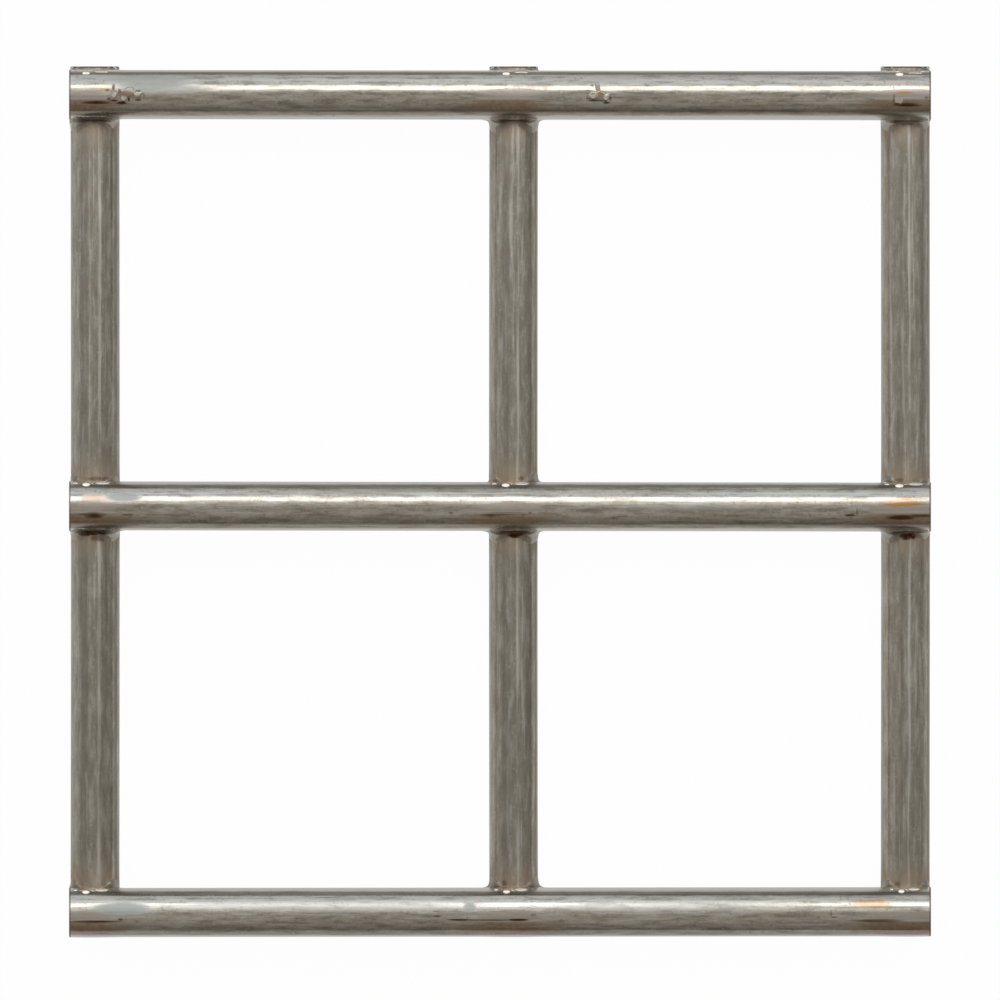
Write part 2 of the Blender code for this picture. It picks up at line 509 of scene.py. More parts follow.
# Dark scale round the spatter, with painted shadow under the flakes and painted breaks in the
# highlight
SPATTER_SCALE_AND_SHADOW_SPOTS = (
    (-47.57, 48.97, 0.27, 0.23, 0.75),
    (-46.97, 48.74, 0.5, 0.16, 0.95),
    (-46.06, 48.5, 0.66, 0.2, 1.0),
    (-45.17, 48.88, 0.16, 0.29, 0.95),
    (-44.04, 48.8, 0.4, 0.17, 0.8),
    (-43.33, 49.40, 0.13, 0.39, 0.55),
    (-43.98, 49.90, 0.32, 0.12, 0.5),
    (-46.27, 49.81, 0.21, 0.32, 0.6),
    (-47.04, 50.19, 0.11, 0.49, 0.5),
    (-47.76, 50.03, 0.24, 0.15, 0.6),
    (11.45, 48.74, 0.9, 0.18, 0.95),
    (10.8, 48.98, 0.35, 0.12, 0.7),
    (12.95, 48.52, 0.5, 0.17, 0.9),
    (12.3, 48.7, 0.7, 0.13, 0.8),
    (10.58, 49.14, 0.13, 0.36, 0.6),
    (10.78, 49.94, 0.51, 0.09, 0.6),
    (13.43, 48.97, 0.15, 0.41, 0.65),
    (11.22, 50.58, 0.15, 0.15, 0.6),
    (47.93, 48.98, 0.11, 0.61, 0.7),
    (48.26, 48.33, 0.46, 0.15, 0.85),
    (47.92, 50.32, 0.07, 0.36, 0.6),
)
# Scale and painted shadow in the crevices in front of the cross wires, where their shadow falls,
# and soot behind them
CORNER_SCALE_AND_SHADOW_SPOTS = (
    (-50.1, -3.92, 1.9, 0.3, 1.0),
    (-51.0, -4.0, 0.8, 0.38, 0.9),
    (-49.3, -4.5, 0.9, 0.5, 0.5),
    (1.8, -4.1, 1.35, 0.45, 1.0),
    (50.0, -4.25, 1.3, 0.5, 1.0),
    (-49.7, 46.55, 0.6, 0.25, 0.7),
    (1.7, 46.5, 1.2, 0.25, 0.35),
    (49.8, 46.4, 1.2, 0.4, 0.6),
    (-49.3, 2.75, 1.4, 0.28, 0.5),
    (2.6, 2.8, 0.35, 0.3, 0.5),
    (0.5, -46.9, 0.35, 0.4, 0.45),
    (48.8, -46.95, 0.35, 0.28, 0.4),
    (49.0, 2.6, 0.55, 0.25, 0.4),
)
# Brown heat tint on the spatter and below the marks
BROWN_SPOTS = (
    (-45.31, 49.52, 1.1, 0.42, 0.85),
    (12.22, 49.40, 0.65, 0.58, 0.8),
    (-43.85, 49.16, 0.36, 0.22, 0.4),
    (48.42, 48.80, 0.49, 0.36, 0.5),
    (49.42, -2.2, 1.9, 0.35, 0.7),
    (-49.06, 48.2, 1.2, 0.32, 0.7),
    (-49.4, -2.1, 2.2, 0.4, 0.7),
    (0.97, -2.05, 1.3, 0.4, 0.6),
    (3.2, -51.4, 1.3, 0.35, 0.6),
    (45.6, -51.6, 2.2, 0.4, 0.7),
)
# Straw tint along the upper edges of the electrode marks
STRAW_SPOTS = (
    (49.02, -0.40, 2.5, 0.2, 0.95),
    (48.91, 0.09, 2.1, 0.45, 0.35),
    (49.20, 49.72, 1.15, 0.17, 0.95),
    (-49.4, 0.32, 1.8, 0.3, 0.42),
    (45.4, -49.03, 2.6, 0.46, 0.5),
    (46.3, -48.9, 0.7, 0.4, 0.6),
    (-48.41, 50.13, 1.1, 0.3, 0.35),
)
# Rubbed places, where the steel is rougher and the light on it is broken
RUBBED_SPOTS = (
    (-42.5, 50.6, 5.2, 1.1, 1.0),
    (-40.5, 50.2, 6.0, 0.7, 0.8),
    (-45.9, 0.5, 2.3, 0.6, 1.0),
    (-48.9, 0.45, 2.4, 0.5, 0.45),
    (-46.0, -49.6, 3.6, 0.9, 1.0),
    (-3.7, -49.4, 0.9, 0.6, 0.9),
    (-21.0, -49.3, 20.0, 0.8, 0.5),
    (22.0, -49.3, 17.0, 0.8, 0.4),
    (13.0, 50.9, 6.0, 0.3, 0.5),
    (-14.0, 1.2, 9.0, 0.25, 0.6),
    (24.0, -0.8, 9.0, 0.4, 0.6),
)

# Noises of the drawn wire and of the weld metal: scale, detail and roughness
NOISES = {
    "Fine": (7000.0, 2.0, 0.6),
    "Coarse": (2400.0, 3.0, 0.6),
    "Patches": (600.0, 4.0, 0.6),
    "Mottling": (260.0, 4.0, 0.65),
    "Specks": (2200.0, 3.0, 0.65),
    "Weld": (1300.0, 4.0, 0.6),
}
# Mottling lies between lines and specks: its places are drawn out this much more.
MOTTLING_STRETCH = (5.0, 5.0, 5.0)
# How strongly the lines and the specks of the drawn wire show, on the cross wires, which run
# along X, and on the line wires, which run along Y
LINE_WEAR = {"X": 0.5, "Y": 0.4}
SPECK_WEAR = {"X": 0.45, "Y": 0.3}
# Layers of wear: texture, the values where it starts and is full, colour, and strength
WEAR_LAYERS = (
    ("Patches", 0.44, 0.62, "dull_steel", LINE_WEAR),
    ("Coarse", 0.54, 0.68, "pale_steel_and_highlight", LINE_WEAR),
    ("Coarse", 0.46, 0.34, "dull_steel", LINE_WEAR),
    ("Mottling", 0.5, 0.64, "pale_steel_and_highlight", SPECK_WEAR),
    ("Mottling", 0.5, 0.36, "soap_and_shade", SPECK_WEAR),
    ("Specks", 0.58, 0.70, "pale_steel_and_highlight", SPECK_WEAR),
    ("Specks", 0.42, 0.30, "soap_and_shade", SPECK_WEAR),
)
# Scale of the die lines' pattern along X, Y and Z. It is drawn out along the wire.
LINE_STRETCH = {"X": (0.03, 1.0, 1.0), "Y": (1.0, 0.03, 1.0)}
# Lines along the flanks: offset from the wire's axis, half width in millimetres, and strength.
# On a cross wire, the dark lines near both rims are painted shade and the pale line is a painted
# highlight. On a line wire, the dark line near its right edge is painted shade, the pale line is a
# painted highlight, and the other dark lines are die soap.
CROSS_SHADE_LINES = ((2.46, 0.2, 0.75), (-2.3, 0.3, 0.4))
CROSS_HIGHLIGHT_LINE = (1.6, 0.1, 0.5)
LINE_SOAP_LEFT = (-1.0, 0.5, 0.45)
LINE_SOAP_RIGHT = (1.75, 0.35, 0.45)
LINE_EDGE_SHADE = (2.7, 0.12, 0.6)
LINE_HIGHLIGHT_LINE = (0.5, 0.17, 0.5)
# How far the painted highlight line and the right die soap line of the outer line wires lie further
# out, per length along X
HIGHLIGHT_DRIFT = 0.0066
SOAP_DRIFT = -0.005
# Strength of the painted reflection along both rims of a cross wire
RIM_REFLECTION_STRENGTH = 0.9
# Strengths of what the weld, the electrode and the shear left
HEAT_STRENGTH = 0.75
BROWNED_STRENGTH = 0.4
RUST_STRENGTH = 0.6
MARK_STRENGTH = 0.7
RUBBED_STRENGTH = 0.85
EDGE_STRENGTH = 0.85
FACE_STRENGTH = 0.6
# The painted highlight on the lip that an electrode raised at its mark, as a line along the wire
LIP_HIGHLIGHT = (-0.7, 0.13, 0.4)
# Where a band starts and is full, as multiples of its half width
BAND_OUTLINE = (1.5, 0.5)
# Where a spot starts and is full, after the grain has made its outline ragged
SPOT_OUTLINE = (2.8, 1.4)
SPOT_RAGGEDNESS = 2.4
# Soft edges of masks. Each is the place where its mask starts and the place where it is
# full, in millimetres. First the flank of a wire that carries painted light and the rims of a
# cross wire that carry a painted reflection, across it, and the half of a wire that an electrode
# touched, up or down from its axis
LIT_FLANKS = {"X": (0.3, 1.3), "Y": (-1.5, -2.3)}
CROSS_RIM_REFLECTIONS = ((2.6, 2.85), (-2.55, -2.8))
TOUCHED_HALF = {"X": (0.0, 1.0), "Y": (0.0, -1.0)}
# The browned steel of a line wire beside its crossings, along the wire
BROWNED_RAGGEDNESS = 6.0 * MM
BROWNED_END = (10.0, 5.5)
# The cut end and its dark edge, past the wire's length, and the edge out of its radius
EDGE_START = (-0.24, -0.14)
FACE_START = (-0.05, -0.02)
EDGE_INNER = (-0.22, -0.14)
EDGE_OUTER = (0.4, 0.3)
# The heated steel and the pressed band of an electrode mark, along and across the wire.
# The mark lies a little to the left of its crossing, and its ends are ragged.
MARK_SHIFT = 0.8 * MM
MARK_HALF_LENGTH = 4.0 * MM
MARK_RAGGEDNESS = 4.0 * MM
MARK_END = (0.4, -0.4)
MARK_TOP = (0.6, 0.2)
MARK_BOTTOM = (-0.98, -0.82)
HEAT_RAGGEDNESS = 6.0 * MM
HEAT_END = (10.5, 4.5)
HEAT_TOP = (-0.3, -1.1)
HEAT_BOTTOM = (-2.45, -2.0)
# The weld metal: scale and painted shade in front of a cross wire, under its overhang, soot behind
# it and under its lumps, and the heights over the floor where the lumps and the spatter begin
SCALE_AND_SHADE_FRONT = (-2.2, -3.1)
SCALE_AND_SHADE_END = (2.3, 1.2)
SOOT_BACK = (2.3, 2.8)
SOOT_END = (2.8, 2.2)
SOOT_TOP = (7.2, 6.7)
LUMPS_FROM = (7.6, 8.0)
SPATTER_FROM = (9.1, 9.4)
# Strengths on the weld metal
WELD_TINT_STRENGTH = 0.35
FRONT_STRENGTH = 0.4
SOOT_STRENGTH = 0.75
LUMP_SMOOTHNESS = 0.85
# Roughness of the plain weld metal and wire, and what each thing on them adds
WELD_ROUGHNESS = 0.1
PLAIN_ROUGHNESS = {"X": 0.09, "Y": 0.16}
ADDED_ROUGHNESS = {
    "grain": 0.16,
    "dull": 0.06,
    "mark": 0.1,
    "scale": 0.35,
    "edge": 0.3,
    "face": 0.25,
    "rubbed": 0.42,
    "browned": 0.6,
}
WELD_ADDED_ROUGHNESS = {
    "grain": 0.2,
    "spatter": 0.35,
    "scale": 0.4,
    "behind": 0.35,
}
# Light of the room from front to back: place and level. It is warmer in front and cooler
# behind, and falls off a little to the right.
ROOM_LEVELS = (
    (0.0, 0.20),
    (0.03, 0.26),
    (0.11, 0.33),
    (0.22, 0.42),
    (0.42, 0.48),
    (0.52, 0.49),
    (0.57, 0.66),
    (0.63, 1.0),
    (0.70, 1.0),
    (0.78, 0.72),
    (0.95, 0.88),
    (1.0, 0.66),
)
WARM_FRONT = Vector((1.03, 1.0, 0.94))
COOL_BACK = Vector((0.96, 1.0, 1.03))
ROOM_SIDEWAYS = 0.12
# How white the floor is to the camera, and how bright it is in reflections
FLOOR_GLOW = 0.975
FLOOR_MIRRORED = 0.64
SENSOR_WIDTH = 36.0
CLIP_START = 0.01
# The camera stands this far behind the middle, as in the photo.
CAMERA_ASIDE = 0.14 * MM


# Selecting and joining

def deselect_all():
    bpy.ops.object.select_all(action="DESELECT")


def make_active(thing):
    deselect_all()
    thing.select_set(True)
    bpy.context.view_layer.objects.active = thing


def select_faces(wire, wanted):
    """Selects, in edit mode, the faces that a test on centre and normal picks."""
    bpy.ops.mesh.select_mode(type="FACE")
    bpy.ops.mesh.select_all(action="DESELECT")
    bpy.ops.object.mode_set(mode="OBJECT")
    for face in wire.data.polygons:
        face.select = wanted(face)
    bpy.ops.object.mode_set(mode="EDIT")


def combine(base, operation, other, solver="MANIFOLD"):
    """Joins or cuts a piece with another one, which is used up."""
    make_active(base)
    step = base.modifiers.new(operation.lower(), "BOOLEAN")
    step.operation = operation
    step.solver = solver
    step.object = other
    bpy.ops.object.modifier_apply(modifier=step.name)
    bpy.data.objects.remove(other)


def fused(pieces, name):
    """One piece made of several, cut free of what lies inside.

    The two smallest pieces are joined first, again and again, which is the quickest order.
    """
    pieces = sorted(pieces, key=lambda piece: len(piece.data.polygons))
    while len(pieces) > 1:
        combine(pieces[1], "UNION", pieces[0])
        pieces = sorted(pieces[1:], key=lambda piece: len(piece.data.polygons))
    base = pieces[0]
    base.name = name
    base.data.name = name
    return base


# Where things are

def line_places(sizes):
    """The places of the line wires along X."""
    drift = {0: sizes.middle_line_drift}
    return {column: column * sizes.pitch + drift.get(column, 0.0) for column in COLUMNS}


def cross_places(sizes):
    """The places of the cross wires along Y."""
    drift = {0: sizes.middle_cross_drift}
    return {
        row: row * sizes.pitch + drift.get(row, 0.0) + sizes.grid_shift for row in ROWS
    }


def line_height():
    """The height of the line wires' axes over the floor."""
    return NOMINAL_WIRE / 2


def cross_height(sizes):
    """The height of the cross wires' axes over the floor."""
    return 1.5 * NOMINAL_WIRE - sizes.set_down


def joint_height(sizes):
    """Half way between the axes of the two layers."""
    return (line_height() + cross_height(sizes)) / 2


# Wires

def swollen(sizes, distance):
    """How many times its plain radius a wire has at a distance from a crossing."""
    if distance >= sizes.swell_reach:
        return 1.0
    share = math.cos(math.pi / 2 * distance / sizes.swell_reach) ** 2
    return 1.0 + share * sizes.swell / (sizes.wire_diameter / 2)


def stations_along(start, end, crossings):
    """Places along a wire: close together near the crossings, further apart elsewhere."""
    places = [start]
    fine_starts = [crossing - FINE_REACH for crossing in crossings]
    while places[-1] < end - FINE_STEP / 2:
        here = places[-1]
        nearest = min(abs(here + FINE_STEP - crossing) for crossing in crossings)
        step = FINE_STEP if nearest < FINE_REACH else COARSE_STEP
        ahead = min((place - here for place in fine_starts if place > here), default=step)
        places.append(min(here + min(step, max(ahead, FINE_STEP)), end))
    places[-1] = end
    return places


def draw_wire(name, start, end, height, crossings, sizes):
    """A wire along Y: a disc extruded from station to station and swollen at its crossings."""
    deselect_all()
    radius = sizes.wire_diameter / 2
    bpy.ops.mesh.primitive_circle_add(
        vertices=WIRE_SIDES,
        radius=radius,
        fill_type="NGON",
        location=(0.0, start, height),
        rotation=(math.pi / 2, 0.0, 0.0),
    )
    wire = bpy.context.object
    wire.name = name
    bpy.ops.object.transform_apply(location=True, rotation=True, scale=True)
    bpy.ops.object.mode_set(mode="EDIT")
    bpy.ops.mesh.select_all(action="SELECT")
    places = stations_along(start, end, crossings)
    previous = 1.0
    for index, place in enumerate(places):
        if index:
            move = (0.0, place - places[index - 1], 0.0)
            bpy.ops.mesh.extrude_region_move(TRANSFORM_OT_translate={"value": move})
        factor = swollen(sizes, min(abs(place - crossing) for crossing in crossings))
        change = factor / previous
        bpy.ops.transform.resize(
            value=(change, 1.0, change), center_override=(0.0, place, height)
        )
        previous = factor
    bpy.ops.mesh.select_all(action="SELECT")
    bpy.ops.mesh.normals_make_consistent(inside=False)
    bpy.ops.object.mode_set(mode="OBJECT")
    return wire


def press_marks(wire, crossings, level, side, sizes):
    """Cuts the swell of each crossing flat at a level."""
    radius = sizes.wire_diameter / 2
    for crossing in crossings:
        deselect_all()
        bpy.ops.mesh.primitive_cube_add(
            size=1.0,
            location=(0.0, crossing, level + side * radius / 2),
            scale=(2 * radius, 2 * sizes.swell_reach + FINE_STEP, radius),
        )
        combine(wire, "DIFFERENCE", bpy.context.object, "EXACT")


def is_end(face):
    """Whether a face is the round end of a wire."""
    return len(face.vertices) > SIDE_FACE_CORNERS


def shear_ends(wire, half, height, lean):
    """Leans both cut ends, then takes the sharp edge off them."""
    make_active(wire)
    bpy.ops.object.mode_set(mode="EDIT")
    for side in (-1.0, 1.0):
        select_faces(wire, lambda face: is_end(face) and side * face.normal.y > SQUARE)
        bpy.ops.transform.rotate(
            value=-side * lean, orient_axis="X", center_override=(0.0, side * half, height)
        )
    select_faces(wire, lambda face: is_end(face) and abs(face.normal.y) > NEARLY_SQUARE)
    bpy.ops.mesh.region_to_loop()
    bpy.ops.mesh.bevel(offset=END_CHAMFER, segments=2, affect="EDGES")
    bpy.ops.object.mode_set(mode="OBJECT")


def placed_copy(wire, name, offset, turn, tilt, bow):
    """A copy of a wire with its own mesh, moved sideways, bowed, and turned into its direction."""
    copy = wire.copy()
    copy.data = wire.data.copy()
    copy.name = name
    copy.data.name = name
    bpy.context.collection.objects.link(copy)
    half = max(abs(vert.co.y) for vert in copy.data.vertices)
    for vert in copy.data.vertices:
        vert.co.x += bow * (1.0 - (vert.co.y / half) ** 2)
    copy.data.transform(Matrix.Translation(offset) @ Matrix.Rotation(turn + tilt, 4, "Z"))
    return copy


class PANEL_OT_line_wires(bpy.types.Operator):
    """Draws the line wires, the lower layer, which run along Y"""

    bl_idname = "mesh_panel.line_wires"
    bl_label = "Draw line wires"

    def execute(self, context):
        sizes = context.scene.panel_sizes
        crossings = list(cross_places(sizes).values())
        height = line_height()
        half = sizes.line_length / 2
        pattern = draw_wire("line_wire", -half, half, height, crossings, sizes)
        level = height - sizes.wire_diameter / 2 - MARK_HEIGHT
        press_marks(pattern, crossings, level, -1.0, sizes)
        shear_ends(pattern, half, height, sizes.end_lean)
        for column, place in line_places(sizes).items():
            offset = Vector((place, 0.0, 0.0))
            placed_copy(pattern, f"line_wire_{column + 2}", offset, 0.0, 0.0, LINE_BOWS[column])
        bpy.data.objects.remove(pattern)
        return {"FINISHED"}


class PANEL_OT_cross_wires(bpy.types.Operator):
    """Draws the cross wires, the upper layer, which run along X"""

    bl_idname = "mesh_panel.cross_wires"
    bl_label = "Draw cross wires"

    def execute(self, context):
        sizes = context.scene.panel_sizes
        # The pattern lies along Y and is turned, so its stations run against X.
        crossings = [-place for place in line_places(sizes).values()]
        height = cross_height(sizes)
        half = sizes.cross_length / 2
        pattern = draw_wire("cross_wire", -half, half, height, crossings, sizes)
        level = height + sizes.wire_diameter / 2 + MARK_HEIGHT
        press_marks(pattern, crossings, level, 1.0, sizes)
        shear_ends(pattern, half, height, sizes.end_lean)
        for row, place in cross_places(sizes).items():
            offset = Vector((0.0, place, 0.0))
            turn = math.pi / 2
            placed_copy(pattern, f"cross_wire_{row + 2}", offset, turn, CROSS_TILTS[row], 0.0)
        bpy.data.objects.remove(pattern)
        return {"FINISHED"}


# Collars

def seam_place(around, sizes):
    """A point of the seam between two crossing wires, and the way its notch opens and lies.

    The point is measured from the middle of the crossing, half way between the two axes.
    """
    radius = sizes.wire_diameter / 2
    apart = cross_height(sizes) - joint_height(sizes)
    spread = math.cos(2 * around)
    rise = 0.0
    # At the corners there is no spread, and the seam is level with the middle.
    if abs(spread) > 1e-6:
        rise = (apart - math.sqrt(apart ** 2 + (radius ** 2 - apart ** 2) * spread ** 2)) / spread
    x = math.copysign(math.sqrt(max(radius ** 2 - (apart + rise) ** 2, 0.0)), math.cos(around))
    y = math.copysign(math.sqrt(max(radius ** 2 - (apart - rise) ** 2, 0.0)), math.sin(around))
    off_line = Vector((x, 0.0, rise + apart)).normalized()
    off_cross = Vector((0.0, y, rise - apart)).normalized()
    opening = (off_line + off_cross).normalized()
    upright = opening.cross(off_cross.cross(off_line)).normalized()
    if upright.z < 0.0:
        upright = -upright
    return Vector((x, y, rise)), opening, upright


def wire_gaps(point, sizes):
    """How far a point lies outside the cross wire and outside the line wire."""
    radius = sizes.wire_diameter / 2
    apart = cross_height(sizes) - joint_height(sizes)
    off_cross = math.hypot(point.y, point.z - apart) - radius * swollen(sizes, abs(point.x))
    off_line = math.hypot(point.x, point.z + apart) - radius * swollen(sizes, abs(point.y))
    return off_cross, off_line


def filled_gap(point, fill, sizes):
    """How far a point lies outside two crossing wires whose seam is rounded with metal."""
    off_cross, off_line = wire_gaps(point, sizes)
    share = max(fill - abs(off_cross - off_line), 0.0) / fill
    return min(off_cross, off_line) - share ** 2 * fill / 4


def fill_reach(base, direction, fill, sizes):
    """How far the metal in a seam reaches from a point inside it."""
    step = COLLAR_REACH / REACH_STEPS
    far = step
    while far < COLLAR_REACH and filled_gap(base + direction * far, fill, sizes) < -COLLAR_SINK:
        far += step
    near = far - step
    for _ in range(REACH_HALVINGS):
        middle = (near + far) / 2
        if filled_gap(base + direction * middle, fill, sizes) < -COLLAR_SINK:
            near = middle
        else:
            far = middle
    return far


def seam_fill_at(around, corners, sizes):
    """How widely metal rounds the seam of a crossing at an angle round it."""
    front, left = math.sin(around) < 0.0, math.cos(around) < 0.0
    corner = corners[(0 if front else 2) + (0 if left else 1)]
    if abs(math.sin(around)) > abs(math.cos(around)):
        side = SIDE_FILLS["front" if front else "back"]
    else:
        side = SIDE_FILLS["side"]
    share = math.sin(2 * around) ** 2
    if not front and abs(math.sin(around)) > abs(math.cos(around)):
        share = share ** BACK_GATHERING
    return sizes.seam_fill * (side + (corner - side) * share)


def shape_collar(collar, centre, corners, seed, sizes):
    """Lays a ring of metal into the seam between two crossing wires.

    It rounds the seam, most of all at the four corners. It is cut off with the wires' ends.
    """
    grain = Vector([seed * shift for shift in COLLAR_SEED_SHIFT])
    slope = math.tan(sizes.end_lean)
    joint = joint_height(sizes)
    for vert in collar.data.vertices:
        around = math.atan2(vert.co.y, vert.co.x)
        section = math.atan2(vert.co.z, math.hypot(vert.co.x, vert.co.y) - RING_RADIUS) / math.pi
        place, opening, upright = seam_place(around, sizes)
        base = place - opening * COLLAR_DEPTH
        share = abs(section) / COLLAR_OPEN_SHARE
        reach = COLLAR_ROOT
        if share <= 1.0:
            angle = share * COLLAR_OPENING
        else:
            rest = (abs(section) - COLLAR_OPEN_SHARE) / (1.0 - COLLAR_OPEN_SHARE)
            angle = COLLAR_OPENING + rest * (math.pi - COLLAR_OPENING)
        angle = math.copysign(angle, section)
        direction = opening * math.cos(angle) + upright * math.sin(angle)
        if share <= 1.0:
            turned = COLLAR_WAVES * Vector((math.cos(around), math.sin(around), 0.0))
            wobble = noise.noise(grain + turned)
            fill = seam_fill_at(around, corners, sizes) * (1.0 + COLLAR_WAVE_SHARE * wobble)
            reach = fill_reach(base, direction, fill, sizes)
            proud = min(wire_gaps(base + direction * reach, sizes)) / COLLAR_ROUGH_FROM
            lumpy = noise.fractal(grain + base / COLLAR_GRAIN, *COLLAR_FRACTAL)
            reach += COLLAR_ROUGHNESS * lumpy * max(0.0, min(1.0, proud))
        place = base + direction * reach
        place += Vector((centre[0], centre[1], joint))
        limits = (
            sizes.cross_length / 2 - SHEAR_MARGIN - slope * (place.z - cross_height(sizes)),
            sizes.line_length / 2 - SHEAR_MARGIN - slope * (place.z - line_height()),
        )
        for axis, limit in enumerate(limits):
            place[axis] = max(-limit, min(limit, place[axis]))
        vert.co = place


class PANEL_OT_collars(bpy.types.Operator):
    """Lays a collar of squeezed-out metal into each crossing"""

    bl_idname = "mesh_panel.collars"
    bl_label = "Lay weld collars"

    def execute(self, context):
        sizes = context.scene.panel_sizes
        for row, y in cross_places(sizes).items():
            for column, x in line_places(sizes).items():
                deselect_all()
                bpy.ops.mesh.primitive_torus_add(
                    major_segments=COLLAR_SEGMENTS,
                    minor_segments=COLLAR_SECTION,
                    major_radius=RING_RADIUS,
                    minor_radius=RING_SECTION,
                )
                collar = bpy.context.object
                collar.name = f"collar_{column + 2}_{row + 2}"
                seed = 3 * (row + 1) + column + 1
                shape_collar(collar, (x, y), CORNER_FILLS[(column, row)], seed, sizes)
        return {"FINISHED"}


# Lumps and spatter

def add_plate(name, place, half_length, half_width, thickness, lean, turn):
    """A round plate with a soft upper rim. Its place is the middle of its top."""
    deselect_all()
    bpy.ops.mesh.primitive_cylinder_add(
        vertices=PLATE_SIDES,
        radius=1.0,
        depth=1.0,
        location=(0.0, 0.0, -0.5),
    )
    plate = bpy.context.object
    plate.name = name
    bpy.ops.object.transform_apply(location=True)
    bpy.ops.transform.resize(
        value=(half_length, half_width, thickness), center_override=(0.0, 0.0, 0.0)
    )
    bpy.ops.object.transform_apply(location=True, scale=True)
    bpy.ops.object.mode_set(mode="EDIT")
    select_faces(plate, lambda face: face.normal.z > SQUARE)
    bpy.ops.mesh.region_to_loop()
    rim = min(PLATE_RIM, PLATE_RIM_SHARE * min(half_length, half_width))
    bpy.ops.mesh.bevel(offset=rim, segments=PLATE_RIM_STEPS, affect="EDGES")
    bpy.ops.object.mode_set(mode="OBJECT")
    plate.data.transform(
        Matrix.Translation(place)
        @ Matrix.Rotation(-lean, 4, "X")
        @ Matrix.Rotation(turn, 4, "Z")
    )
    return plate


class PANEL_OT_lumps(bpy.types.Operator):
    """Lays the lumps of squeezed-out metal behind each crossing"""

    bl_idname = "mesh_panel.lumps"
    bl_label = "Lay weld lumps"

    def execute(self, context):
        sizes = context.scene.panel_sizes
        axis_height = cross_height(sizes)
        for row, y in cross_places(sizes).items():
            for column, x in line_places(sizes).items():
                shift, stretch = LUMP_SHIFTS[(column, row)]
                for kind, lump in LUMPS.items():
                    offset, across, half_length, half_width, height, thickness = [
                        value * MM for value in lump
                    ]
                    along = x + offset * stretch + shift * MM
                    axis = y + math.tan(CROSS_TILTS[row]) * along
                    top = axis_height + height + LUMP_LIFT[row]
                    add_plate(
                        f"lump_{kind}_{column + 2}_{row + 2}",
                        Vector((along, axis + across + LUMP_ASIDE[row], top)),
                        half_length * stretch,
                        half_width,
                        thickness,
                        LUMP_LEANS[row] + EXTRA_LEANS.get(kind, 0.0),
                        0.0,
                    )
        return {"FINISHED"}


class PANEL_OT_spatter(bpy.types.Operator):
    """Lays the flakes of spattered metal that stick to the back cross wire"""

    bl_idname = "mesh_panel.spatter"
    bl_label = "Lay spatter"

    def execute(self, context):
        sizes = context.scene.panel_sizes
        radius = sizes.wire_diameter / 2
        back = cross_places(sizes)[1]
        for name, flakes in SPATTER.items():
            plates = []
            for flake in flakes:
                along, across, half_length, half_width, rise = [value * MM for value in flake[:5]]
                lean, turn = [math.radians(value) for value in flake[5:]]
                axis = back + math.tan(CROSS_TILTS[1]) * along
                surface = cross_height(sizes) + math.sqrt(radius ** 2 - across ** 2)
                place = Vector((along, axis + across, surface + rise))
                plates.append(
                    add_plate(
                        "flake", place, half_length, half_width, SPATTER_THICKNESS, lean, turn
                    )
                )
            make_active(plates[0])
            for plate in plates:
                plate.select_set(True)
            bpy.ops.object.join()
            piece = bpy.context.object
            piece.name = name
            skin = piece.modifiers.new("skin", "REMESH")
            skin.mode = "VOXEL"
            skin.voxel_size = SPATTER_VOXEL
            bpy.ops.object.modifier_apply(modifier=skin.name)
            soften = piece.modifiers.new("soften", "SMOOTH")
            soften.iterations = SPATTER_SMOOTHING
            bpy.ops.object.modifier_apply(modifier=soften.name)
        return {"FINISHED"}


# Fusing

def surface_gap(point, axis_place, height, along, radius):
    """How far a point lies off the surface of a wire."""
    side = point.x if along == "Y" else point.y
    return abs(math.hypot(side - axis_place, point.z - height) - radius)


def past_end(along, rise, length, sizes):
    """How far a point lies past the leaned end of a wire."""
    return abs(along) + rise * math.tan(sizes.end_lean) - length / 2


def near_row(row, crosses):
    """A test of whether a spot lies nearest to one row of cross wires."""
    return lambda spot: min(crosses, key=lambda key: abs(crosses[key] - spot[1] * MM)) == row


def finish_faces(panel, scene):
    """Gives each face the finish of the wire whose surface it lies on, or of weld metal."""
    sizes = scene.panel_sizes
    lines = line_places(sizes)
    crosses = cross_places(sizes)
    finishes = {
        row: steel_material(f"cross_wire_steel_{row + 2}", scene, "X", near_row(row, crosses))
        for row in crosses
    }
    finishes["line"] = steel_material("line_wire_steel", scene, "Y")
    finishes["weld"] = weld_material(scene)
    panel.data.materials.clear()
    slots = {}
    for key, finish in finishes.items():
        slots[key] = len(panel.data.materials)
        panel.data.materials.append(finish)
    radius = sizes.wire_diameter / 2
    top = cross_height(sizes) + radius - FINISH_GAP
    bottom = line_height() - radius + FINISH_GAP
    for face in panel.data.polygons:
        point = face.center
        column = min(lines, key=lambda key: abs(lines[key] - point.x))
        row = min(crosses, key=lambda key: abs(crosses[key] - point.y))
        from_line = abs(lines[column] - point.x)
        from_cross = abs(crosses[row] - point.y)
        cross_axis = crosses[row] + math.tan(CROSS_TILTS[row]) * point.x
        line_axis = lines[column] + LINE_BOWS[column] * (1 - (2 * point.y / sizes.line_length) ** 2)
        cross_radius = radius * swollen(sizes, from_line)
        line_radius = radius * swollen(sizes, from_cross)
        cross_gap = surface_gap(point, cross_axis, cross_height(sizes), "X", cross_radius)
        line_gap = surface_gap(point, line_axis, line_height(), "Y", line_radius)
        past_cross = past_end(point.x, point.z - cross_height(sizes), sizes.cross_length, sizes)
        past_line = past_end(point.y, point.z - line_height(), sizes.line_length, sizes)
        at_end = max(past_cross, past_line) > -2 * END_CHAMFER
        if cross_gap < FINISH_GAP or (face.normal.z > SQUARE and point.z > top):
            face.material_index = slots[row]
        elif line_gap < FINISH_GAP or (face.normal.z < -SQUARE and point.z < bottom):
            face.material_index = slots["line"]
        elif at_end and abs(face.normal.x) > FACING:
            face.material_index = slots[row]
        elif at_end and abs(face.normal.y) > FACING:
            face.material_index = slots["line"]
        else:
            face.material_index = slots["weld"]


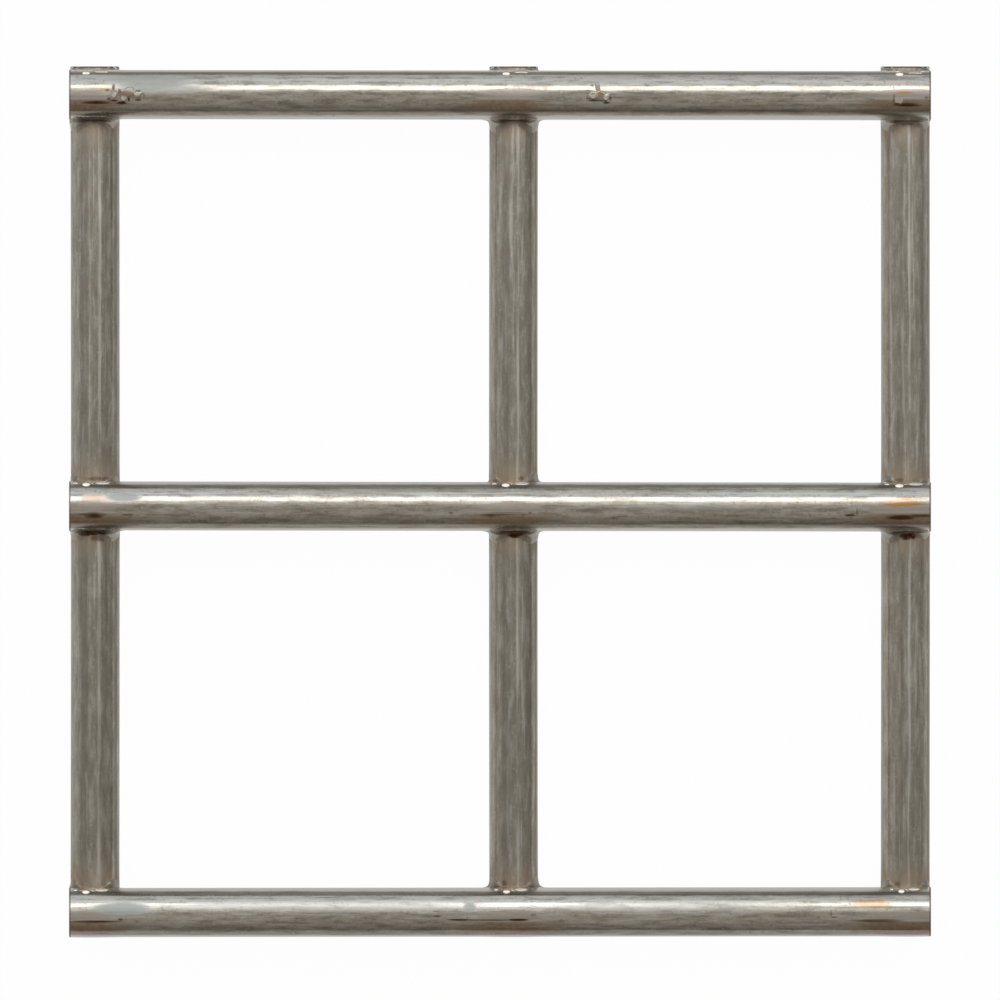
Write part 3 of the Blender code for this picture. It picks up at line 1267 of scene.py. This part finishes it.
class PANEL_OT_fuse(bpy.types.Operator):
    """Fuses wires and collars into one panel that stands for the CAD node"""

    bl_idname = "mesh_panel.fuse"
    bl_label = "Fuse the panel"

    def execute(self, context):
        starts = ("line_wire_", "cross_wire_", "collar_", "lump_", "spatter_")
        pieces = [o for o in bpy.data.objects if o.name.startswith(starts)]
        if not pieces:
            raise RuntimeError("draw the wires and collars first")
        panel = fused(pieces, PANEL_NAME)
        finish_faces(panel, context.scene)
        make_active(panel)
        bpy.ops.object.shade_smooth_by_angle(angle=SMOOTH_ANGLE)
        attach(panel, "root")
        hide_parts(CAD_NODE)
        return {"FINISHED"}


# Nodes

def add_node(tree, kind, inputs=None, **settings):
    """A node with its settings. Each input is a number, a colour or another node's output."""
    made = tree.nodes.new(kind)
    for name, value in settings.items():
        setattr(made, name, value)
    for socket, value in (inputs or {}).items():
        if isinstance(value, bpy.types.NodeSocket):
            tree.links.new(value, made.inputs[socket])
        else:
            made.inputs[socket].default_value = value
    return made


def calc(tree, operation, first, second=0.0, third=0.0):
    """The output of a Math node."""
    node = add_node(
        tree, "ShaderNodeMath", {0: first, 1: second, 2: third}, operation=operation
    )
    return node.outputs[0]


def blend_colours(tree, factor, first, second, blend="MIX"):
    """The output of a Mix node for colours."""
    node = add_node(
        tree,
        "ShaderNodeMix",
        {0: factor, 6: first, 7: second},
        data_type="RGBA",
        blend_type=blend,
        clamp_factor=True,
    )
    return node.outputs[2]


def vector_calc(tree, operation, first, second):
    """The output of a Vector Math node."""
    node = add_node(tree, "ShaderNodeVectorMath", {0: first, 1: second}, operation=operation)
    return node.outputs[0]


def step_between(tree, value, low, high):
    """A mask that goes smoothly from 0 at one value to 1 at another."""
    node = add_node(
        tree,
        "ShaderNodeMapRange",
        {"Value": value, "From Min": low, "From Max": high},
        interpolation_type="SMOOTHSTEP",
    )
    return node.outputs[0]


def noise_value(tree, label, place):
    """The value of a noise at a place."""
    scale, detail, roughness = NOISES[label]
    inputs = {"Vector": place, "Scale": scale, "Detail": detail, "Roughness": roughness}
    return add_node(tree, "ShaderNodeTexNoise", inputs).outputs[0]


def soft_edge(tree, value, edge, start=0.0):
    """The mask on one side of a soft edge, whose places are counted from a start."""
    low, high = edge
    return step_between(tree, value, start + low * MM, start + high * MM)


def new_group(name, inputs, outputs):
    """A new shader node group with its inputs and outputs."""
    group = bpy.data.node_groups.new(name, "ShaderNodeTree")
    for label, kind, default in inputs:
        socket = group.interface.new_socket(label, in_out="INPUT", socket_type=kind)
        if default is not None:
            socket.default_value = default
    for label, kind in outputs:
        group.interface.new_socket(label, in_out="OUTPUT", socket_type=kind)
    entry = group.nodes.new("NodeGroupInput").outputs
    leave = group.nodes.new("NodeGroupOutput").inputs
    return group, entry, leave


def wire_offset_group():
    """How far a point lies to the side of the nearest wire of a layer."""
    name = "Offset from the nearest wire"
    if name in bpy.data.node_groups:
        return bpy.data.node_groups[name]
    group, entry, leave = new_group(
        name,
        (
            ("Coordinate", "NodeSocketFloat", 0.0),
            ("Middle", "NodeSocketFloat", 0.0),
            ("Pitch", "NodeSocketFloat", 0.05),
            ("Drift", "NodeSocketFloat", 0.0),
        ),
        (("Offset", "NodeSocketFloat"),),
    )
    from_middle = calc(group, "SUBTRACT", entry["Coordinate"], entry["Middle"])
    step = calc(group, "ROUND", calc(group, "DIVIDE", from_middle, entry["Pitch"]))
    whole = calc(group, "MULTIPLY", step, entry["Pitch"])
    drift = calc(group, "MULTIPLY", calc(group, "ABSOLUTE", step), entry["Drift"])
    rest = calc(group, "SUBTRACT", from_middle, whole)
    group.links.new(calc(group, "ADD", rest, drift), leave["Offset"])
    return group


def drawn_lines_group():
    """Lengthwise lines from the drawing die, and longer dull and pale patches."""
    name = "Drawn lines"
    if name in bpy.data.node_groups:
        return bpy.data.node_groups[name]
    group, entry, leave = new_group(
        name,
        (
            ("Vector", "NodeSocketVector", None),
            ("Stretch", "NodeSocketVector", (1.0, 1.0, 1.0)),
        ),
        (
            ("Fine", "NodeSocketFloat"),
            ("Coarse", "NodeSocketFloat"),
            ("Patches", "NodeSocketFloat"),
            ("Mottling", "NodeSocketFloat"),
            ("Specks", "NodeSocketFloat"),
        ),
    )
    stretched = vector_calc(group, "MULTIPLY", entry["Vector"], entry["Stretch"])
    longer = vector_calc(group, "MULTIPLY", stretched, MOTTLING_STRETCH)
    places = {
        "Fine": stretched,
        "Coarse": stretched,
        "Patches": stretched,
        "Mottling": vector_calc(group, "ADD", longer, entry["Vector"]),
        "Specks": entry["Vector"],
    }
    for label, place in places.items():
        group.links.new(noise_value(group, label, place), leave[label])
    return group


def band_group():
    """A soft-edged band of values round a middle."""
    name = "Band"
    if name in bpy.data.node_groups:
        return bpy.data.node_groups[name]
    group, entry, leave = new_group(
        name,
        (
            ("Value", "NodeSocketFloat", 0.0),
            ("Middle", "NodeSocketFloat", 0.0),
            ("Half width", "NodeSocketFloat", 0.0002),
        ),
        (("Mask", "NodeSocketFloat"),),
    )
    off = calc(group, "ABSOLUTE", calc(group, "SUBTRACT", entry["Value"], entry["Middle"]))
    outer, inner = [calc(group, "MULTIPLY", entry["Half width"], share) for share in BAND_OUTLINE]
    group.links.new(step_between(group, off, outer, inner), leave["Mask"])
    return group


def ragged_spot_group():
    """A soft-edged spot with a ragged outline, laid over the spots before it."""
    name = "Ragged spot"
    if name in bpy.data.node_groups:
        return bpy.data.node_groups[name]
    group, entry, leave = new_group(
        name,
        (
            ("Vector", "NodeSocketVector", None),
            ("Centre", "NodeSocketVector", (0.0, 0.0, 0.0)),
            ("Half size", "NodeSocketVector", (1.0, 1.0, 1.0)),
            ("Strength", "NodeSocketFloat", 1.0),
            ("Grain", "NodeSocketFloat", 0.5),
            ("Before", "NodeSocketFloat", 0.0),
        ),
        (("Mask", "NodeSocketFloat"),),
    )
    from_centre = vector_calc(group, "SUBTRACT", entry["Vector"], entry["Centre"])
    share = vector_calc(group, "DIVIDE", from_centre, entry["Half size"])
    squared = add_node(
        group, "ShaderNodeVectorMath", {0: share, 1: share}, operation="DOT_PRODUCT"
    ).outputs["Value"]
    ragged = calc(group, "MULTIPLY_ADD", entry["Grain"], SPOT_RAGGEDNESS, squared)
    spot = step_between(group, ragged, *SPOT_OUTLINE)
    mask = calc(group, "MULTIPLY", spot, entry["Strength"])
    group.links.new(calc(group, "MAXIMUM", mask, entry["Before"]), leave["Mask"])
    return group


def electrode_mark_group():
    """The mark of an electrode on a wire: the pressed band and the heated steel below it."""
    name = "Electrode mark"
    if name in bpy.data.node_groups:
        return bpy.data.node_groups[name]
    group, entry, leave = new_group(
        name,
        (
            ("Along", "NodeSocketFloat", 0.0),
            ("Across", "NodeSocketFloat", 0.0),
            ("Grain", "NodeSocketFloat", 0.5),
            ("Half length", "NodeSocketFloat", MARK_HALF_LENGTH),
        ),
        (
            ("Heat", "NodeSocketFloat"),
            ("Mark", "NodeSocketFloat"),
        ),
    )
    distance = calc(group, "ABSOLUTE", calc(group, "ADD", entry["Along"], MARK_SHIFT))
    ragged = calc(group, "MULTIPLY_ADD", entry["Grain"], HEAT_RAGGEDNESS, distance)
    heat = soft_edge(group, ragged, HEAT_END)
    below = soft_edge(group, entry["Across"], HEAT_TOP)
    above_rim = soft_edge(group, entry["Across"], HEAT_BOTTOM)
    heated = calc(group, "MULTIPLY", heat, calc(group, "MULTIPLY", below, above_rim))
    group.links.new(heated, leave["Heat"])
    ends = calc(group, "MULTIPLY_ADD", entry["Grain"], MARK_RAGGEDNESS, distance)
    reach = calc(group, "ADD", entry["Half length"], MARK_RAGGEDNESS / 2)
    inside = soft_edge(group, calc(group, "SUBTRACT", ends, reach), MARK_END)
    upper = soft_edge(group, entry["Across"], MARK_TOP)
    lower = soft_edge(group, entry["Across"], MARK_BOTTOM)
    pressed = calc(group, "MULTIPLY", inside, calc(group, "MULTIPLY", upper, lower))
    group.links.new(pressed, leave["Mark"])
    return group


def group_node(tree, group, inputs):
    """A node that uses a group, with its inputs set or linked."""
    made = add_node(tree, "ShaderNodeGroup", node_tree=group)
    for socket, value in inputs.items():
        if isinstance(value, bpy.types.NodeSocket):
            tree.links.new(value, made.inputs[socket])
        else:
            made.inputs[socket].default_value = value
    return made.outputs


def grid_offsets(tree, sizes):
    """The object coordinates, and the offsets from the nearest line wire and cross wire."""
    coordinates = add_node(tree, "ShaderNodeTexCoord").outputs["Object"]
    parts = add_node(tree, "ShaderNodeSeparateXYZ", {0: coordinates}).outputs
    offsets = []
    middles = (sizes.middle_line_drift, sizes.middle_cross_drift + sizes.grid_shift)
    drifts = (sizes.middle_line_drift, sizes.middle_cross_drift)
    for part, middle, drift in zip(parts, middles, drifts):
        inputs = {"Coordinate": part, "Middle": middle, "Pitch": sizes.pitch, "Drift": drift}
        offsets.append(group_node(tree, wire_offset_group(), inputs)["Offset"])
    return coordinates, parts, offsets


def spots_mask(tree, coordinates, grain, spots, height):
    """One mask for a table of ragged spots that lie near a height."""
    mask = 0.0
    for x, y, half_x, half_y, strength in spots:
        inputs = {
            "Vector": coordinates,
            "Centre": (x * MM, y * MM, height),
            "Half size": (half_x * MM, half_y * MM, SPOT_HALF_HEIGHT),
            "Strength": strength,
            "Grain": grain,
            "Before": mask,
        }
        mask = group_node(tree, ragged_spot_group(), inputs)["Mask"]
    return mask


def band(tree, value, middle, half_width):
    """The mask of a band of values round a middle, in millimetres."""
    inputs = {"Value": value, "Middle": middle * MM, "Half width": half_width * MM}
    return group_node(tree, band_group(), inputs)["Mask"]


def times(tree, *values):
    """The product of several masks or numbers."""
    product = values[0]
    for value in values[1:]:
        product = calc(tree, "MULTIPLY", product, value)
    return product


def new_material(name):
    """A material with a Principled surface."""
    material = bpy.data.materials.new(name)
    material.use_nodes = True
    tree = material.node_tree
    shader = tree.nodes["Principled BSDF"]
    return material, tree, shader


def add_roughness(tree, shader, plain, masks, added):
    """Gives a surface its plain roughness, and more of it under each mask."""
    rough = plain
    for kind, mask in masks.items():
        rough = calc(tree, "MULTIPLY_ADD", mask, added[kind], rough)
    tree.links.new(rough, shader.inputs["Roughness"])


def add_bump(tree, shader, height, depth):
    """Gives a surface the relief of a height, this deep."""
    inputs = {"Height": height, "Strength": 1.0, "Distance": depth}
    bump = add_node(tree, "ShaderNodeBump", inputs)
    tree.links.new(bump.outputs[0], shader.inputs["Normal"])


def end_masks(tree, parts, across_offset, along_part, axis_height, half, sizes):
    """The cut face at a wire's end, and the dark edge round it."""
    radius = sizes.wire_diameter / 2
    aside = calc(tree, "MULTIPLY", across_offset, across_offset)
    rise = calc(tree, "SUBTRACT", parts["Z"], axis_height)
    radial = calc(tree, "SQRT", calc(tree, "MULTIPLY_ADD", rise, rise, aside))
    distance = calc(tree, "ABSOLUTE", along_part)
    upright = calc(tree, "MULTIPLY_ADD", rise, math.tan(sizes.end_lean), distance)
    near_end = calc(tree, "SUBTRACT", upright, half)
    at_end = soft_edge(tree, near_end, EDGE_START)
    # The dark edge follows the wire and not the collar's metal beside it.
    ring = times(
        tree,
        soft_edge(tree, radial, EDGE_INNER, radius),
        soft_edge(tree, radial, EDGE_OUTER, radius),
    )
    edge = times(tree, at_end, ring)
    inside = calc(tree, "SUBTRACT", 1.0, ring)
    face = times(tree, soft_edge(tree, near_end, FACE_START), inside)
    return face, edge


def line_mask(tree, offset, line):
    """The mask of a line along a wire, at its strength."""
    middle, half_width, strength = line
    return times(tree, band(tree, offset, middle, half_width), strength)


def worn_colour(tree, lines, colour, along, finish):
    """Lays the dull, pale and dark lines, patches and specks of drawn wire over a colour."""
    for label, low, high, tone, strengths in WEAR_LAYERS:
        mask = times(tree, step_between(tree, lines[label], low, high), strengths[along])
        colour = blend_colours(tree, mask, colour, getattr(finish, tone))
    return colour


def cross_painted_lines(tree, across_offset, coarse):
    """Painted shade in dark lines along both flanks of a cross wire, a painted highlight line, and
    a painted reflection along its rims.
    """
    back_shade_line, front_shade_line = [line_mask(tree, across_offset, line) for line in CROSS_SHADE_LINES]
    soap_and_shade = calc(tree, "MAXIMUM", back_shade_line, front_shade_line)
    painted_highlights = times(
        tree,
        line_mask(tree, across_offset, CROSS_HIGHLIGHT_LINE),
        step_between(tree, coarse, 0.44, 0.56),
    )
    # Painted reflection along both rims of the wire
    back_rim, front_rim = [soft_edge(tree, across_offset, rim) for rim in CROSS_RIM_REFLECTIONS]
    rims = calc(tree, "MAXIMUM", back_rim, front_rim)
    return soap_and_shade, calc(tree, "MAXIMUM", painted_highlights, times(tree, rims, RIM_REFLECTION_STRENGTH))


def line_soap_and_painted_lines(tree, across_offset, place, coarse, patches):
    """Die soap in dark lines along a line wire, painted shade along its right edge, and a painted
    highlight line. The lines lie a little further out on the outer wires.
    """
    shifted = calc(tree, "MULTIPLY_ADD", place, HIGHLIGHT_DRIFT, across_offset)
    opposite = calc(tree, "MULTIPLY_ADD", place, SOAP_DRIFT, across_offset)
    sides = calc(
        tree,
        "MAXIMUM",
        line_mask(tree, across_offset, LINE_SOAP_LEFT),
        line_mask(tree, opposite, LINE_SOAP_RIGHT),
    )
    soap_and_shade = times(tree, sides, step_between(tree, patches, 0.34, 0.54))
    # Painted shade in a dark line along the right edge of the wire
    soap_and_shade = calc(tree, "MAXIMUM", soap_and_shade, line_mask(tree, across_offset, LINE_EDGE_SHADE))
    painted_highlights = times(
        tree,
        line_mask(tree, shifted, LINE_HIGHLIGHT_LINE),
        step_between(tree, coarse, 0.36, 0.56),
    )
    return soap_and_shade, painted_highlights


def steel_material(name, scene, along, is_near=None):
    """Drawn steel wire whose lines run along X or along Y, with the spots that are near it."""
    sizes = scene.panel_sizes
    finish = scene.panel_finish
    material, tree, shader = new_material(name)
    coordinates, parts, (from_line, from_cross) = grid_offsets(tree, sizes)
    is_cross = along == "X"
    along_offset, across_offset = (from_line, from_cross) if is_cross else (from_cross, from_line)
    line_inputs = {"Vector": coordinates, "Stretch": LINE_STRETCH[along]}
    lines = group_node(tree, drawn_lines_group(), line_inputs)
    coarse, patches, specks = lines["Coarse"], lines["Patches"], lines["Specks"]
    axis_height = cross_height(sizes) if is_cross else line_height()

    # The wire as it was drawn, with painted light on one flank, painted shade lines and painted
    # highlight lines
    flank = soft_edge(tree, across_offset, LIT_FLANKS[along])
    if is_cross:
        colour = blend_colours(tree, flank, finish.steel, finish.lit_flank_steel)
        soap_and_shade, painted_highlights = cross_painted_lines(tree, across_offset, coarse)
    else:
        # Painted light: the left flank of a line wire is painted half way to the paler steel.
        colour = blend_colours(tree, times(tree, flank, 0.5), finish.line_steel, finish.steel)
        soap_and_shade, painted_highlights = line_soap_and_painted_lines(tree, across_offset, parts["X"], coarse, patches)
    colour = worn_colour(tree, lines, colour, along, finish)
    # Dark lines along the flanks: painted shade, and on the line wires die soap too
    colour = blend_colours(tree, soap_and_shade, colour, finish.soap_and_shade)
    # Painted highlight lines, and on the cross wires a painted reflection along the rims
    colour = blend_colours(tree, painted_highlights, colour, finish.pale_steel_and_highlight)

    # What the weld left: heat tint, the pressed band, straw tint and scale, with a painted
    # highlight on the mark's lip, and painted shadow round the spatter and in the crevices
    mark_inputs = {"Along": along_offset, "Across": across_offset, "Grain": coarse}
    marks = group_node(tree, electrode_mark_group(), mark_inputs)
    touched = soft_edge(tree, parts["Z"], TOUCHED_HALF[along], axis_height)
    if is_cross:
        top = axis_height + SPOT_HEIGHT
        # Scale along the marks, and scale with painted shadow round the spatter
        scale_and_shadow_spots = filter(is_near, MARK_SPOTS + SPATTER_SCALE_AND_SHADOW_SPOTS)
        scale = spots_mask(tree, coordinates, coarse, scale_and_shadow_spots, top)
        straw = spots_mask(tree, coordinates, coarse, filter(is_near, STRAW_SPOTS), top)
        rubbed = spots_mask(tree, coordinates, patches, filter(is_near, RUBBED_SPOTS), top)
        browned = spots_mask(tree, coordinates, specks, filter(is_near, BROWN_SPOTS), top)
    else:
        # Scale with painted shadow in the crevices in front of the cross wires
        scale = spots_mask(tree, coordinates, specks, CORNER_SCALE_AND_SHADOW_SPOTS, joint_height(sizes))
        distance = calc(tree, "ABSOLUTE", along_offset)
        near = calc(tree, "MULTIPLY_ADD", lines["Mottling"], BROWNED_RAGGEDNESS, distance)
        browned = times(tree, soft_edge(tree, near, BROWNED_END), BROWNED_STRENGTH)
    heated = times(tree, marks["Heat"], touched, HEAT_STRENGTH)
    heat = calc(tree, "MAXIMUM", heated, browned)
    colour = blend_colours(tree, heat, colour, finish.heat_tint)
    reddish = times(tree, heat, step_between(tree, specks, 0.46, 0.6), RUST_STRENGTH)
    colour = blend_colours(tree, reddish, colour, finish.rust)
    mark = times(tree, marks["Mark"], touched)
    colour = blend_colours(tree, times(tree, mark, MARK_STRENGTH), colour, finish.mark)
    if is_cross:
        # A painted highlight on the lip that the electrode raised at the lower edge of its mark
        lip_highlight = times(tree, mark, line_mask(tree, across_offset, LIP_HIGHLIGHT))
        colour = blend_colours(tree, lip_highlight, colour, finish.pale_steel_and_highlight)
        worn = times(tree, rubbed, RUBBED_STRENGTH)
        colour = blend_colours(tree, worn, colour, finish.rubbed_steel)
        colour = blend_colours(tree, straw, colour, finish.straw_tint)
    face, edge = end_masks(
        tree,
        parts,
        across_offset,
        parts["X"] if is_cross else parts["Y"],
        axis_height,
        (sizes.cross_length if is_cross else sizes.line_length) / 2,
        sizes,
    )
    # Scale, partly painted shadow round the spatter and in the crevices
    colour = blend_colours(tree, scale, colour, finish.scale)
    colour = blend_colours(tree, times(tree, edge, EDGE_STRENGTH), colour, finish.cut_edge)
    colour = blend_colours(tree, times(tree, face, FACE_STRENGTH), colour, finish.pale_steel_and_highlight)
    tree.links.new(colour, shader.inputs["Base Color"])

    masks = {
        "grain": coarse,
        "dull": step_between(tree, patches, 0.44, 0.62),
        "mark": mark,
        "scale": scale,
        "edge": edge,
        "face": face,
    }
    if is_cross:
        masks["rubbed"] = rubbed
    else:
        masks["browned"] = browned
    add_roughness(tree, shader, PLAIN_ROUGHNESS[along], masks, ADDED_ROUGHNESS)
    shader.inputs["Metallic"].default_value = 1.0

    height = calc(tree, "MULTIPLY_ADD", lines["Fine"], 0.35, coarse)
    height = calc(tree, "MULTIPLY_ADD", specks, 0.2, height)
    height = calc(tree, "MULTIPLY_ADD", times(tree, mark, specks), 1.5, height)
    add_bump(tree, shader, height, STEEL_BUMP)
    return material


def weld_material(scene):
    """Squeezed-out weld metal: uneven, with scale in its hollows, painted shade under the cross
    wires' overhang, and painted shadow round the spatter.
    """
    sizes = scene.panel_sizes
    finish = scene.panel_finish
    material, tree, shader = new_material("weld_metal")
    coordinates, parts, (from_line, from_cross) = grid_offsets(tree, sizes)
    grain = noise_value(tree, "Weld", coordinates)
    tinted = step_between(tree, grain, 0.45, 0.62)
    tinted = times(tree, tinted, WELD_TINT_STRENGTH)
    colour = blend_colours(tree, tinted, finish.weld, finish.heat_tint)
    spatter_height = cross_height(sizes) + SPOT_HEIGHT
    brown = spots_mask(tree, coordinates, grain, BROWN_SPOTS, spatter_height)
    colour = blend_colours(tree, brown, colour, finish.heat_tint)
    # Scale and painted shade in the middle of the front side, where the cross wire overhangs.
    front = soft_edge(tree, from_cross, SCALE_AND_SHADE_FRONT)
    aside = calc(tree, "ABSOLUTE", from_line)
    front = times(tree, front, soft_edge(tree, aside, SCALE_AND_SHADE_END), FRONT_STRENGTH)
    top = spots_mask(tree, coordinates, grain, SPATTER_SCALE_AND_SHADOW_SPOTS, spatter_height)
    corner = spots_mask(tree, coordinates, grain, CORNER_SCALE_AND_SHADOW_SPOTS, joint_height(sizes))
    # Scale, with painted shadow round the spatter, in the crevices and under the overhang
    scale = calc(tree, "MAXIMUM", calc(tree, "MAXIMUM", top, corner), front)
    colour = blend_colours(tree, scale, colour, finish.scale)
    # Below the lumps, the metal behind the cross wires is rough and sooty too.
    behind = times(
        tree,
        soft_edge(tree, from_cross, SOOT_BACK),
        soft_edge(tree, parts["Z"], SOOT_TOP),
    )
    sooty = times(tree, behind, soft_edge(tree, aside, SOOT_END), SOOT_STRENGTH)
    colour = blend_colours(tree, sooty, colour, finish.soap_and_shade)
    tree.links.new(colour, shader.inputs["Base Color"])
    # The spatter on top has burnt rough, and the lumps behind the wires are smooth.
    spatter = soft_edge(tree, parts["Z"], SPATTER_FROM)
    masks = {"grain": grain, "spatter": spatter, "scale": scale, "behind": behind}
    add_roughness(tree, shader, WELD_ROUGHNESS, masks, WELD_ADDED_ROUGHNESS)
    shader.inputs["Metallic"].default_value = 1.0
    lump = soft_edge(tree, parts["Z"], LUMPS_FROM)
    height = times(tree, grain, calc(tree, "MULTIPLY_ADD", lump, -LUMP_SMOOTHNESS, 1.0))
    add_bump(tree, shader, height, WELD_BUMP)
    return material


# Stage

def floor_material():
    """Pale floor: white to the camera and in reflections, and it still takes a soft shadow."""
    material, tree, shader = new_material("pale_floor")
    shader.inputs["Base Color"].default_value = (0.8, 0.8, 0.8, 1.0)
    shader.inputs["Roughness"].default_value = 1.0
    shader.inputs["Specular IOR Level"].default_value = 0.0
    path = add_node(tree, "ShaderNodeLightPath").outputs
    reflected = calc(tree, "MAXIMUM", path["Is Glossy Ray"], path["Is Transmission Ray"])
    seen = calc(tree, "MAXIMUM", path["Is Camera Ray"], reflected)
    mirrored = calc(tree, "MULTIPLY", reflected, FLOOR_MIRRORED)
    strength = calc(tree, "MAXIMUM", path["Is Camera Ray"], mirrored)
    glow = add_node(tree, "ShaderNodeEmission", {"Strength": strength})
    mix = add_node(tree, "ShaderNodeMixShader", {0: calc(tree, "MULTIPLY", seen, FLOOR_GLOW)})
    tree.links.new(shader.outputs[0], mix.inputs[1])
    tree.links.new(glow.outputs[0], mix.inputs[2])
    tree.links.new(mix.outputs[0], tree.nodes["Material Output"].inputs["Surface"])
    return material


def light_world():
    """A soft room: brighter at the back, darker at the front."""
    world = bpy.data.worlds.new("soft_room")
    world.use_nodes = True
    bpy.context.scene.world = world
    tree = world.node_tree
    background = tree.nodes["Background"]
    direction = add_node(tree, "ShaderNodeTexCoord").outputs["Generated"]
    parts = add_node(tree, "ShaderNodeSeparateXYZ", {0: direction}).outputs
    share = add_node(
        tree,
        "ShaderNodeMapRange",
        {"Value": parts["Y"], "From Min": -1.0, "From Max": 1.0},
    ).outputs[0]
    ramp = add_node(tree, "ShaderNodeValToRGB", {0: share})
    stops = ramp.color_ramp.elements
    while len(stops) < len(ROOM_LEVELS):
        stops.new(0.5)
    for stop, (place, level) in zip(stops, ROOM_LEVELS):
        stop.position = place
        stop.color = (*(level * WARM_FRONT.lerp(COOL_BACK, place)), 1.0)
    tree.links.new(ramp.outputs[0], background.inputs["Color"])
    sideways = calc(tree, "MULTIPLY_ADD", parts["X"], -ROOM_SIDEWAYS, 1.0)
    tree.links.new(sideways, background.inputs["Strength"])


class PANEL_OT_stage(bpy.types.Operator):
    """Sets the floor, the lamp and the camera"""

    bl_idname = "mesh_panel.stage"
    bl_label = "Set the stage"

    def execute(self, context):
        scene = context.scene
        stage = scene.panel_stage
        deselect_all()
        bpy.ops.mesh.primitive_plane_add(size=stage.floor_size, location=(0.0, 0.0, 0.0))
        floor = context.object
        floor.name = "floor"
        floor.data.materials.append(floor_material())

        angle = stage.lamp_angle
        place = stage.lamp_distance * Vector((0.0, math.sin(angle), math.cos(angle)))
        bpy.ops.object.light_add(type="AREA", location=place, rotation=(-angle, 0.0, 0.0))
        lamp = context.object
        lamp.name = "strip_lamp"
        lamp.data.shape = "RECTANGLE"
        lamp.data.size = stage.lamp_length
        lamp.data.size_y = stage.lamp_width
        lamp.data.energy = stage.lamp_power
        light_world()

        bpy.ops.object.camera_add(location=(0.0, CAMERA_ASIDE, stage.camera_height))
        camera = context.object
        camera.data.sensor_width = SENSOR_WIDTH
        camera.data.lens = stage.lens
        camera.data.clip_start = CLIP_START
        scene.camera = camera
        scene.view_settings.view_transform = "Standard"
        return {"FINISHED"}


class PANEL_PT_sidebar(bpy.types.Panel):
    """The steps of the panel, in order"""

    bl_idname = "PANEL_PT_sidebar"
    bl_label = "Welded mesh panel"
    bl_space_type = "VIEW_3D"
    bl_region_type = "UI"
    bl_category = "Mesh panel"

    def draw(self, context):
        for operator in OPERATORS:
            self.layout.operator(operator.bl_idname)


OPERATORS = (
    PANEL_OT_line_wires,
    PANEL_OT_cross_wires,
    PANEL_OT_collars,
    PANEL_OT_lumps,
    PANEL_OT_spatter,
    PANEL_OT_fuse,
    PANEL_OT_stage,
)
SETTINGS = {
    "panel_sizes": PanelSizes,
    "panel_finish": PanelFinish,
    "panel_stage": PanelStage,
}


def register():
    for group in SETTINGS.values():
        bpy.utils.register_class(group)
    for operator in OPERATORS:
        bpy.utils.register_class(operator)
    bpy.utils.register_class(PANEL_PT_sidebar)
    for name, group in SETTINGS.items():
        setattr(bpy.types.Scene, name, bpy.props.PointerProperty(type=group))


def unregister():
    for name in SETTINGS:
        delattr(bpy.types.Scene, name)
    bpy.utils.unregister_class(PANEL_PT_sidebar)
    for operator in reversed(OPERATORS):
        bpy.utils.unregister_class(operator)
    for group in reversed(SETTINGS.values()):
        bpy.utils.unregister_class(group)


def main():
    register()
    bpy.ops.mesh_panel.line_wires()
    bpy.ops.mesh_panel.cross_wires()
    bpy.ops.mesh_panel.collars()
    bpy.ops.mesh_panel.lumps()
    bpy.ops.mesh_panel.spatter()
    bpy.ops.mesh_panel.fuse()
    bpy.ops.mesh_panel.stage()


if __name__ == "__main__":
    main()
